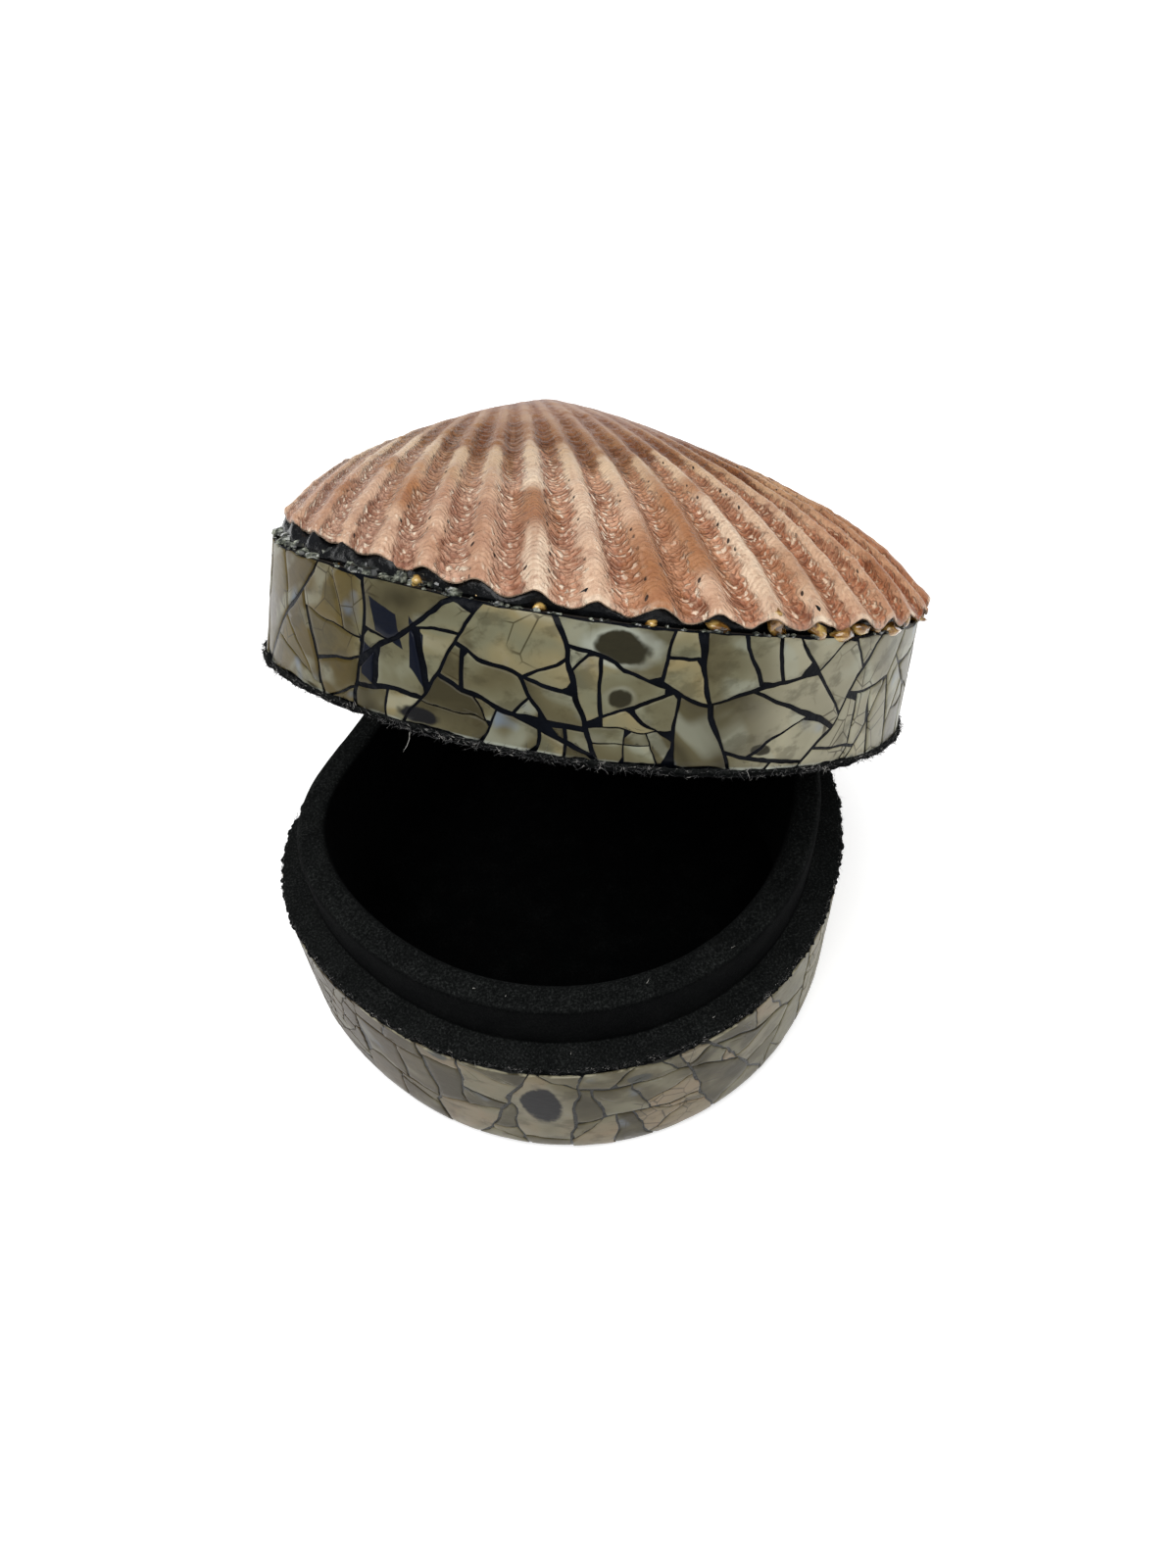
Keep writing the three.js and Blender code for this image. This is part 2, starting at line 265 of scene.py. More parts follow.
def outlineAt(u, inset):
    # The point a length u round the outline from the front, moved inwards along the normal
    angle = np.interp(np.mod(u, perimeter), outlineLengths, manyAngles)
    step = 1e-4
    tangent = rawOutline(angle + step) - rawOutline(angle - step)
    tangent = tangent / np.linalg.norm(tangent, axis=-1, keepdims=True)
    outward = np.stack([tangent[..., 1], -tangent[..., 0]], -1)
    return rawOutline(angle) - outward * np.asarray(inset)[..., None]


# The hinge turns closed lid parts into the pose of the photograph
hinge = frame["record"]["behaviour"]["joints"][0]
hingePivot = np.array(hinge["pos_m"]) / mm
hingeAxis = np.array(hinge["axis"]) / np.linalg.norm(hinge["axis"])
openAngle = math.radians(-hinge["range_deg"][0])


def opened(points):
    # Turned about the hinge line by the open angle
    offset = points - hingePivot
    along = (offset @ hingeAxis)[..., None] * hingeAxis
    return (hingePivot + along + (offset - along) * math.cos(openAngle)
            + np.cross(hingeAxis, offset) * math.sin(openAngle))


# Meshes from arrays


def makePiece(name, points, faces, body, stands, material, attributes=None, smooth=True):
    mesh = bpy.data.meshes.new(name)
    mesh.from_pydata(np.asarray(points) * mm, [], [list(face) for face in faces])
    mesh.validate()
    for key, values in (attributes or {}).items():
        layer = mesh.attributes.new(key, "FLOAT", "POINT")
        layer.data.foreach_set("value", np.asarray(values, np.float32).ravel())
    mesh.polygons.foreach_set("use_smooth", [smooth] * len(mesh.polygons))
    piece = bpy.data.objects.new(name, mesh)
    scene.collection.objects.link(piece)
    mesh.materials.append(material)
    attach(piece, body)
    if stands:
        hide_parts(*stands)
    return piece


def gridFaces(rows, columns, closedRows=False):
    # Quads between neighbouring rows of a grid whose columns run in a closed ring
    i = np.arange(rows if closedRows else rows - 1)[:, None]
    j = np.arange(columns)[None, :]
    low, high = i * columns, ((i + 1) % rows) * columns
    k = (j + 1) % columns
    return np.stack([low + j, low + k, high + k, high + j], -1).reshape(-1, 4).tolist()


def capFaces(rowStart, columns, pole, lastRow):
    # A fan from a ring to its pole, turned the other way round before the first row
    j = rowStart + np.arange(columns)
    k = np.roll(j, -1)
    fan = (j, k) if lastRow else (k, j)
    return np.stack([*fan, np.full(columns, pole)], -1).tolist()


def ringSheet(profile, columns):
    # Rings of points: each (inset, height) of the profile carried round the outline
    u = np.arange(columns) / columns * perimeter
    return np.array([np.c_[outlineAt(u, np.full(columns, float(inset))), np.full(columns, float(height))]
                     for inset, height in profile])


def finePath(stops, step):
    # The same polyline with points no further apart than the step
    path = [stops[0]]
    for start, end in zip(stops, stops[1:]):
        parts = max(1, int(math.ceil(math.dist(start, end) / step)))
        path += [tuple(np.array(start) + (np.array(end) - np.array(start)) * i / parts)
                 for i in range(1, parts + 1)]
    return path


# Black velvet: deep pile that lights up a little at grazing angles


def velvetRecipe():
    recipe = Recipe("black_velvet", **{"Sheen Weight": 0.015, "Sheen Roughness": 0.45,
                                       "Specular IOR Level": 0.03, "Sheen Tint": (0.55, 0.57, 0.6)})
    place = recipe.place()
    pile = recipe.noise(place, 3800.0, 3.0, 0.8)
    nap = recipe.noise(place, 260.0, 4.0, 0.6)
    # Painted light and shade: the pile is painted a lighter grey where it faces up outside the deep cavity,
    # on the ledge and on top of the collar, as lit pile; elsewhere the darker ramp paints shade
    facing = recipe.upright(recipe.node("TexCoord", output=1))
    height = recipe.upright(place) * (1 / mm)
    litUpward = facing.step(0.35, 0.85) * height.step(12.0, 18.0)
    dust = recipe.cells(place, 900.0).step(0.09, 0.05) * recipe.noise(place, 140.0).step(0.55, 0.7)
    dark = recipe.ramp(nap * 0.4 + pile * 0.6, [(0.4, (0.0005, 0.0007, 0.0008)),
                                                (0.54, (0.0016, 0.0018, 0.0018)),
                                                (0.7, (0.006, 0.0065, 0.0065))])
    litPile = recipe.ramp(nap * 0.15 + pile * 0.85, [(0.36, (0.002, 0.0023, 0.0023)),
                                                  (0.52, (0.0065, 0.0072, 0.007)),
                                                  (0.68, (0.028, 0.03, 0.029))])
    # Painted shade on the walls and in the cavity, painted light on the pile that faces up
    tone = recipe.mix(litUpward, dark, litPile)
    colour = recipe.mix(dust * litUpward * 0.16, tone, (0.05, 0.048, 0.045))
    normal = recipe.bump(pile + nap * 1.5, 0.6, 0.0002)
    return recipe.finish(Base_Color=colour, Roughness=0.95, Normal=normal)


velvet = velvetRecipe()

baseVelvet = {
    "columns": 1100, "ledgeEdge": 0.1, "ledgeUnder": 20.42, "ledgeTop": 21.02, "collarFoot": 3.62,
    "collarTop": 28.0, "rounding": 0.95, "collarInner": 7.32, "floorTop": 4.05, "floorUnder": 2.86,
    "outerWall": 3.56, "fray": 0.5, "nap": 0.1,
}


def pushOut(rings, amount):
    # Moves points away from the middle of the box, within the level they lie on
    outward = rings[..., :2] - [0, 3.0]
    outward /= np.maximum(np.linalg.norm(outward, axis=-1, keepdims=True), 1e-6)
    rings[..., :2] += outward * amount[..., None]


def roundedCorner(insetA, heightA, insetB, heightB, steps=6):
    # A quarter turn from one point of the profile to another, round the corner between them
    turn = np.linspace(0, np.pi / 2, steps)
    return [(insetA + (insetB - insetA) * (1 - np.cos(t)), heightA + (heightB - heightA) * np.sin(t))
            for t in turn]


def buildBaseVelvet():
    s = baseVelvet
    r, top = s["rounding"], s["collarTop"]
    outer, inner = s["collarFoot"], s["collarInner"]
    under, ledge, brink = s["ledgeUnder"], s["ledgeTop"], s["ledgeEdge"]
    stops = [(s["outerWall"], s["floorUnder"]), (s["outerWall"], under), (brink + 0.1, under),
             (brink - 0.03, under + 0.2), (brink + 0.02, ledge - 0.12), (brink + 0.25, ledge),
             (outer - 0.25, ledge), (outer, ledge + 0.2), (outer, top - r)]
    stops += roundedCorner(outer, top - r, outer + r, top)[1:]
    stops += [(2 * inner - i, z) for i, z in roundedCorner(inner, top - r, inner + r, top)[::-1]]
    stops += [(inner, s["floorTop"] + 0.3), (inner + 0.3, s["floorTop"])]
    profile = finePath(stops, 0.9)
    rings = ringSheet(profile, s["columns"])
    centre = rings[-1].mean(0)
    inward = [centre + (rings[-1] - centre) * share for share in (0.85, 0.6, 0.3, 0.1)]
    rings = np.concatenate([rings, inward])
    # The floor's rings lie far inside, where nothing frays
    insets = np.r_[[p[0] for p in profile], np.full(len(inward), 12.0)]
    heights = np.r_[[p[1] for p in profile], np.full(len(inward), s["floorTop"])]
    # The cut edge of the ledge frays outwards and inwards, and the pile waves a little everywhere
    raised = heights > 20
    edge = smoothStep(insets, 1.6, 0.4) * raised
    ragged = 0.5 * roughAt(rings * [1, 1, 0.4], 1.6, 2) + 0.7 * roughAt(rings, 0.55, 2, 9)
    pushOut(rings, ragged * edge[:, None] * s["fray"])
    rings[..., 2] += roughAt(rings, 3.0, 3, 5) * s["nap"] * raised[:, None] * 0.6
    count = s["columns"]
    points = np.concatenate([rings.reshape(-1, 3), [[*centre[:2], s["floorTop"]],
                                                    [*centre[:2], s["floorUnder"]]]])
    rows = len(rings)
    faces = gridFaces(rows, count)
    faces += capFaces((rows - 1) * count, count, rows * count, True)
    faces += capFaces(0, count, rows * count + 1, False)
    return makePiece("base_velvet", points, faces, "base", ["base_lining"], velvet)


buildBaseVelvet()
print("base velvet is made")

# Mosaic: a band of the wall is cut into convex shards, in millimetres round (u) and up (v)


def cutCell(cell, point, along, gap):
    # Cuts a convex cell along a line. A cell's rows are corner u, corner v, half gap of its next edge.
    normal = np.array([-along[1], along[0]])
    side = (cell[:, :2] - point) @ normal
    parts = []
    for sign in (1, -1):
        kept = []
        for i in range(len(cell)):
            j = (i + 1) % len(cell)
            if sign * side[i] >= 0:
                kept.append(cell[i])
            if side[i] * side[j] < 0:
                meet = cell[i, :2] + (cell[j, :2] - cell[i, :2]) * side[i] / (side[i] - side[j])
                leaving = sign * side[i] > 0
                kept.append(np.array([*meet, gap / 2 if leaving else cell[i, 2]]))
        parts.append(np.array(kept) if len(kept) > 2 else None)
    return parts


def cellArea(cell):
    x, y = cell[:, 0], cell[:, 1]
    return 0.5 * abs(np.dot(x, np.roll(y, -1)) - np.dot(y, np.roll(x, -1)))


def shatter(cell, draw, size, gap, scatter):
    # Cuts a cell in two across its length, again and again, until its shards are small enough
    if cellArea(cell) < size * draw.uniform(0.45, 2.1):
        return [cell]
    centre = cell[:, :2].mean(0)
    spread = np.cov((cell[:, :2] - centre).T)
    long = np.linalg.eigh(spread)[1][:, 1]
    angle = math.atan2(long[1], long[0]) + math.pi / 2 + draw.normal(0, scatter)
    reach = np.ptp((cell[:, :2] - centre) @ long)
    point = centre + long * reach * draw.uniform(-0.22, 0.22)
    width = gap * draw.uniform(0.35, 1.3)
    parts = cutCell(cell, point, np.array([math.cos(angle), math.sin(angle)]), width)
    if any(p is None or cellArea(p) < 0.12 * size for p in parts):
        return [cell]
    return [shard for p in parts for shard in shatter(p, draw, size, gap * 0.8, scatter)]


def cutAlong(cells, crack, cover):
    # Cuts each cell whose chord on the crack's line lies for the given part under the crack itself
    start, end, gap = np.array(crack[0:2]), np.array(crack[2:4]), crack[4]
    length = np.linalg.norm(end - start)
    along = (end - start) / length
    normal = np.array([-along[1], along[0]])
    result = []
    for cell in cells:
        side = (cell[:, :2] - start) @ normal
        ahead = np.roll(np.arange(len(cell)), -1)
        crossed = side * side[ahead] < 0
        if crossed.sum() == 2:
            share = side[crossed] / (side[crossed] - side[ahead][crossed])
            meets = cell[crossed, :2] + (cell[ahead][crossed, :2] - cell[crossed, :2]) * share[:, None]
            near, far = np.sort((meets - start) @ along)
            covered = min(far, length) - max(near, 0.0)
            if covered > cover * (far - near):
                result += [part for part in cutCell(cell, start, along, gap) if part is not None]
                continue
        result.append(cell)
    return result


def shrunk(cell):
    # Moves each edge inwards by its half gap
    result = cell
    for i in range(len(cell)):
        start, end = cell[i, :2], cell[(i + 1) % len(cell), :2]
        along = end - start
        length = np.linalg.norm(along)
        if length < 1e-9:
            continue
        along = along / length
        inward = np.array([-along[1], along[0]])
        result = cutCell(result, start + inward * cell[i, 2], along, 0.0)[0]
        if result is None:
            return None
    return result


def sampledEdge(cell, count):
    # Points at even steps round a cell, with one moved to each corner
    corners = np.vstack([cell[:, :2], cell[:1, :2]])
    lengths = np.r_[0, np.cumsum(np.linalg.norm(np.diff(corners, axis=0), axis=1))]
    stations = np.arange(count) / count * lengths[-1]
    for mark in lengths[:-1]:
        stations[np.argmin(np.abs(stations - mark))] = mark
    stations = np.sort(stations)
    return np.stack([np.interp(stations, lengths, corners[:, k]) for k in (0, 1)], -1)


# The place of the hinge: no shards within along and up of its middle, and the bands are cut out to its leaves
seat = {
    "along": 6.6, "up": 7.6, "height": 22.9, "skew": math.radians(6.6), "turn": math.radians(36.6),
    "cutAlong": 6.3, "cutUp": 7.3, "cutIn": 1.55, "cutOut": 20.0,
}


def findHingeU():
    outward = np.array([math.sin(seat["turn"]), math.cos(seat["turn"])])
    side = np.array([-outward[1], outward[0]])
    along = hingePivot[:2] @ side
    near = outlinePoints @ outward > 0
    return outlineLengths[np.argmin(np.where(near, np.abs(outlinePoints @ side - along), 1e9))]


hingeU = findHingeU()


def mosaicCells(plan):
    # Plates between upright seams, then shards, without the place of the hinge
    draw = np.random.default_rng(plan["seed"])
    low, high = plan["foot"], plan["top"]
    seams = list(plan["seams"])
    while seams[-1] + plan["plate"] * 1.4 < perimeter + seams[0]:
        seams.append(seams[-1] + plan["plate"] * draw.uniform(0.7, 1.3))
    seams.append(perimeter + seams[0])
    cells = []
    slope = math.tan(seat["skew"])
    half = plan["seamGap"] / 2
    for start, end in zip(seams, seams[1:]):
        plate = np.array([[start, low, 0.0], [end, low, half], [end, high, 0.0], [start, high, half]])
        parts = [plate]
        for side in (-1, 1):
            edge = hingeU + side * seat["along"]
            if start < edge < end:
                cut = [cutCell(part, np.array([edge, 0.0]), np.array([0.0, 1.0]), 0.1) for part in parts]
                parts = [part for pair in cut for part in pair if part is not None]
        kept = []
        for part in parts:
            if abs(part[:, 0].mean() - hingeU) < seat["along"]:
                middle = np.array([hingeU, seat["height"] + seat["up"] * (-1 if plan["below"] else 1)])
                part = cutCell(part, middle, np.array([1.0, slope]), 0.1)[1 if plan["below"] else 0]
            kept.append(part)
        cells += [part for part in kept if part is not None and cellArea(part) >= 1.0]
    # A crack waits until it ends on the edges of a cell. Later passes ask less of it.
    waiting = plan["cracks"]
    for cover in (0.93, 0.93, 0.93, 0.88, 0.88, 0.8, 0.8, 0.7, 0.7, 0.6, 0.5, 0.4):
        missed = []
        for crack in waiting:
            count = len(cells)
            cells = cutAlong(cells, crack, cover)
            if len(cells) == count:
                missed.append(crack)
        waiting = missed
    print("cracks without a place:", waiting)
    # What the photograph doesn't show is broken at random
    shards = []
    for cell in cells:
        middle = cell[:, :2].mean(0)
        known = plan["known"][0] < (middle[0] + perimeter / 2) % perimeter - perimeter / 2 < plan["known"][1]
        size, gap = plan["shard"] * (5.0 if known else 1.0), plan["gap"] * (0.5 if known else 1.0)
        shards += shatter(cell, draw, size, gap, plan["scatter"])
    return shards, draw


def buildMosaic(name, plan, surface, finishPoints, body, stands, material):
    cells, draw = mosaicCells(plan)
    count = plan["samples"]
    edges = []
    for cell in cells:
        small = shrunk(cell)
        if small is None or cellArea(small) < 0.5:
            continue
        corner = draw.integers(len(small))
        if draw.random() < plan["chipped"]:
            # One corner is broken off
            at = small[corner, :2]
            centre = small[:, :2].mean(0)
            inward = (centre - at) / np.linalg.norm(centre - at)
            line = np.array([inward[1], -inward[0]])
            clipped = cutCell(small, at + inward * draw.uniform(0.15, 0.5), line, 0.0)[0]
            if clipped is not None and cellArea(clipped) > 0.5:
                small = clipped
        edges.append(sampledEdge(small, count))
    edge = np.array(edges)
    tiles = len(edge)
    centre = edge.mean(1, keepdims=True)
    turn = draw.normal(0, plan["turn"], tiles)[:, None]
    offset = edge - centre
    offset = np.stack([offset[..., 0] - turn * offset[..., 1], offset[..., 1] + turn * offset[..., 0]], -1)
    reach = np.linalg.norm(offset, axis=-1, keepdims=True)
    # Rings of a shard: a share of the way to the edge or a distance short of it, and the height over its face
    shoulder = plan["shoulder"]
    rings = [("share", 0.4, 0.0), ("share", 0.75, 0.0), ("short", shoulder, 0.0),
             ("short", shoulder * 0.35, -0.03), ("short", 0.0, -0.09), ("short", -0.01, -plan["depth"])]
    layers = []
    for kind, amount, height in rings:
        share = np.full_like(reach, amount) if kind == "share" else 1 - amount / np.maximum(reach, 0.3)
        layers.append((centre + offset * share, height))
    tilt = draw.normal(0, plan["tilt"], (tiles, 2))
    lift = draw.uniform(-plan["lift"], plan["lift"], tiles)

    def bent(flat):
        # Bends all the cuts together, so that cracks wander but keep their width
        probe = np.concatenate([flat, np.full(flat.shape[:-1] + (1,), float(plan["seed"]))], -1)
        bend = np.stack([roughAt(probe, plan["bendSize"], 4, shift) for shift in (1, 8)], -1)
        result = flat + bend * plan["bend"]
        result[..., 1] = np.clip(result[..., 1], plan["foot"], plan["top"])
        return result

    layers = [(centre, 0.0)] + layers + [(centre, -plan["depth"])]
    flats = np.concatenate([bent(flat) for flat, height in layers], 1)
    proud = np.concatenate([height + lift[:, None] + ((flat - centre) * tilt[:, None]).sum(-1)
                            for flat, height in layers], 1)
    block = surface(flats[..., 0], flats[..., 1], -proud)
    perTile = block.shape[1]
    j = np.arange(count)
    k = (j + 1) % count
    faces = [np.stack([np.zeros(count, int), 1 + j, 1 + k], -1)]
    for ring in range(len(rings) - 1):
        a, b = 1 + ring * count, 1 + (ring + 1) * count
        faces.append(np.stack([a + j, b + j, b + k], -1))
        faces.append(np.stack([a + j, b + k, a + k], -1))
    last = 1 + (len(rings) - 1) * count
    faces.append(np.stack([last + k, last + j, np.full(count, perTile - 1)], -1))
    tileFaces = np.concatenate(faces)
    allFaces = (tileFaces[None] + (np.arange(tiles) * perTile)[:, None, None]).reshape(-1, 3)
    spot = np.random.default_rng(plan["seed"] + 1)
    attributes = {"shardTone": np.repeat(spot.random(tiles), perTile),
                  "shardPhase": np.repeat(spot.random(tiles), perTile),
                  "wallU": (np.mod(flats[..., 0] + perimeter / 2, perimeter) - perimeter / 2).ravel(),
                  "wallV": flats[..., 1].ravel()}
    makePiece(name, finishPoints(block.reshape(-1, 3)), allFaces.tolist(), body, stands,
              material, attributes)
    print(name, tiles, "shards,", len(allFaces), "triangles")


# Nacre: soft wavy layers of silver, olive and beige in each shard, under clear lacquer


def nacreRecipe(look):
    recipe = Recipe(look["name"], **{"Coat Roughness": 0.05, "Coat IOR": 1.4,
                                     "Specular IOR Level": look["gloss"]})
    place = recipe.place()
    tone = recipe.attribute("shardTone")
    phase = recipe.attribute("shardPhase")
    u = recipe.attribute("wallU")
    v = recipe.attribute("wallV")
    shift = recipe.joined(phase * 0.05, tone * 0.03)
    shifted = recipe.node("VectorMath", {"operation": "ADD"}, {0: place, 1: shift})
    drift = recipe.noise(shifted, 110.0, 3.0, 0.55, 0.6)
    cloud = recipe.noise(place, 45.0, 2.0, 0.5)
    bands = recipe.node("TexWave", {"wave_type": "BANDS", "bands_direction": "DIAGONAL"},
                        {"Vector": shifted, "Scale": 60.0, "Distortion": 10.0, "Detail": 2.0,
                         "Detail Scale": 1.2, "Detail Roughness": 0.6}, 1)
    grain = recipe.noise(recipe.scaled(shifted, (1.0, 1.0, 3.0)), 900.0, 4.0, 0.6)
    body = recipe.ramp(drift * 0.6 + tone * 0.45 + cloud * 0.35 + bands * 0.12 - 0.26,
                       [(0.25, look["dark"]), (0.44, look["middle"]),
                        (0.62, look["light"]), (0.8, look["warm"])])
    # The tone changes round the box, as in the photograph
    left = u.step(*look["leftFrom"]) * 0.8
    right = u.step(*look["rightFrom"]) * u.step(*look["rightTo"]) * look["right"]
    silver = bands.step(0.55, 0.95) * drift.step(0.42, 0.6)
    shade = recipe.noise(recipe.scaled(shifted, (1.0, 1.0, 2.0)), 260.0, 4.0, 0.6).step(0.5, 0.36)
    # Painted glints: pale blue patches on the bands, standing for light glancing off the nacre
    blueGlint = recipe.noise(shifted, 170.0, 2.0).step(0.62, 0.75) * bands.step(0.35, 0.8)
    flaws = recipe.noise(place, 320.0, 4.0, 0.7).step(0.58, 0.72)
    body = recipe.layered(body, (left, recipe.mix(drift, look["leftDark"], look["leftLight"])),
                          (right, recipe.mix(drift, look["rightDark"], look["rightLight"])),
                          (silver * 0.4, look["silver"]), (shade * 0.45, look["dark"]),
                          (blueGlint * 0.45, look["blueGlint"]), (flaws * 0.35, look["stain"]))
    # Spots: centre u and v, half width and half height, softness, colour, and the weight of a pale rim.
    # Each is an ellipse whose edge wanders.
    wobble = recipe.noise(place, 330.0, 3.0, 0.6) - 0.5
    for spotU, spotV, wide, high, soft, colour, rim in look["spots"]:
        across, up = (u - spotU) * (1.0 / wide), (v - spotV) * (1.0 / high)
        far = across * across + up * up
        if soft < 0.1:
            # A shard that is missing has straight sides
            far = (across * across).most(up * up) + across * up * 0.6
        far = far + wobble * (0.4 + 6.0 * soft)
        if rim > 0:
            body = recipe.mix(far.step(2.4, 1.2) * rim * drift.step(0.3, 0.6), body, look["rim"])
        darker = tuple(0.6 * channel for channel in colour)
        body = recipe.mix(far.step(1.0 + soft, 1.0 - soft), body, recipe.mix(grain, colour, darker))
    # Painted highlights: a pale broken line along the lid's foot, and another along the base's top, where the
    # edges of the nacre catch the light
    foot = v.step(look["foot"] + 0.4, look["foot"] + 0.15) * recipe.noise(place, 200.0).step(0.4, 0.6)
    browHighlight = v.step(19.55, 20.1) * recipe.noise(place, 420.0, 3.0).step(0.44, 0.58)
    hairline = recipe.cells(shifted, 300.0, "DISTANCE_TO_EDGE").step(0.028, 0.008)
    hairline = hairline * recipe.noise(place, 80.0).step(0.54, 0.6)
    body = recipe.layered(body, (foot * 0.6, look["rim"]), (browHighlight * look["browHighlight"], (0.46, 0.43, 0.3)),
                          (hairline * 0.8, look["hairline"]))
    normal = recipe.bump(grain * 0.5 + bands * 0.5, 0.1, 0.0002)
    return recipe.finish(Base_Color=body, Roughness=0.24 + grain * 0.2, Normal=normal,
                         Coat_Weight=look["coat"])


def grainRecipe(name, grain, stops, rough, spread=0.0, bump=None, fine=None, constants=None):
    # One noise gives the colour and the spread of the roughness. The bump follows it or a finer noise.
    recipe = Recipe(name, **(constants or {}))
    place = recipe.place()
    tone = recipe.noise(place, *grain)
    sockets = {"Base_Color": recipe.ramp(tone, stops),
               "Roughness": tone * spread + rough if spread else rough}
    if bump:
        sockets["Normal"] = recipe.bump(recipe.noise(place, *fine) if fine else tone, *bump)
    return recipe.finish(**sockets)


olive, navy = (0.03, 0.027, 0.015), (0.004, 0.006, 0.014)
greySpot, dimSpot = (0.011, 0.01, 0.011), (0.06, 0.06, 0.05)
lidNacreLook = {
    "name": "lid_nacre", "rightTo": (30.0, 12.0), "right": 0.8, "foot": 22.0, "coat": 0.12,
    "gloss": 0.12, "browHighlight": 0.0, "dark": (0.04, 0.034, 0.017), "middle": (0.095, 0.083, 0.044),
    "light": (0.15, 0.145, 0.09), "warm": (0.24, 0.19, 0.09), "silver": (0.3, 0.32, 0.26),
    "blueGlint": (0.15, 0.23, 0.36), "stain": (0.045, 0.035, 0.015),
    "rim": (0.4, 0.43, 0.38), "hairline": (0.035, 0.027, 0.012),
    "leftFrom": (-37.0, -40.0), "leftDark": (0.028, 0.019, 0.003), "leftLight": (0.115, 0.076, 0.012),
    "rightFrom": (-2.0, 6.0), "rightDark": (0.17, 0.157, 0.105), "rightLight": (0.43, 0.405, 0.29),
    "spots": [(-12.0, 32.4, 2.7, 1.35, 0.25, olive, 0.5), (-11.8, 27.9, 1.2, 0.9, 0.3, olive, 0.3),
              (2.3, 23.9, 1.2, 0.55, 0.3, olive, 0.0), (-35.0, 30.7, 1.5, 1.3, 0.06, navy, 0.0),
              (-36.8, 26.6, 0.9, 1.5, 0.06, navy, 0.0), (-31.2, 28.8, 0.75, 2.0, 0.06, navy, 0.0),
              (-30.3, 23.1, 2.2, 0.6, 0.5, (0.01, 0.01, 0.011), 0.0),
              (-56.0, 28.0, 2.4, 2.0, 0.6, (0.13, 0.11, 0.08), 0.0)],
}
# The base's nacre is painted at about half the brightness of the lid's: painted shade over the whole base
# band, besides its own tones
shadedBaseNacreLook = {
    "name": "base_nacre", "rightTo": (60.0, 45.0), "right": 0.7, "foot": 0.0, "coat": 0.02,
    "gloss": 0.05, "browHighlight": 0.5, "dark": (0.042, 0.036, 0.021), "middle": (0.09, 0.078, 0.047),
    "light": (0.15, 0.135, 0.09), "warm": (0.2, 0.15, 0.096), "silver": (0.17, 0.165, 0.115),
    "blueGlint": (0.14, 0.165, 0.2), "stain": (0.07, 0.055, 0.04),
    "rim": (0.18, 0.17, 0.13), "hairline": (0.055, 0.045, 0.034),
    "leftFrom": (-20.0, -34.0), "leftDark": (0.022, 0.0145, 0.006), "leftLight": (0.064, 0.042, 0.017),
    "rightFrom": (12.0, 26.0), "rightDark": (0.095, 0.088, 0.046), "rightLight": (0.19, 0.172, 0.1),
    "spots": [(-12.8, 12.6, 2.4, 4.1, 0.2, greySpot, 0.25), (-1.2, 17.4, 1.4, 0.9, 0.35, dimSpot, 0.0),
              (-25.0, 19.8, 1.2, 0.8, 0.4, dimSpot, 0.0)],
}
lidGrout, baseGrout = (
    grainRecipe(name, (300.0, 4.0, 0.6), stops, 0.3, bump=(0.4, 0.0002), fine=(1500.0, 3.0),
                constants={"Specular IOR Level": 0.06})
    for name, stops in (("lid_grout", [(0.3, (0.0012, 0.0015, 0.0025)), (0.7, (0.004, 0.005, 0.008))]),
                        ("base_grout", [(0.3, (0.012, 0.013, 0.013)), (0.7, (0.028, 0.027, 0.024))])))
baseNacre = nacreRecipe(shadedBaseNacreLook)
lidNacre = nacreRecipe(lidNacreLook)


# How far each wall stands in at each height: the base's foot is rounded, the lid leans in by its taper
baseSide = [(0.5, 0.5), (0.125, 1.75), (0.0, 3.0), (0.0, 20.2)]
lidSide = [(0.0, box["lidBoardFoot"]), (box["lidTaper"], box["lidTop"])]


def wallOf(side):
    insets, heights = zip(*side)

    def surface(u, v, depth):
        return np.concatenate([outlineAt(u, np.interp(v, heights, insets) + depth), v[..., None]], -1)

    return surface


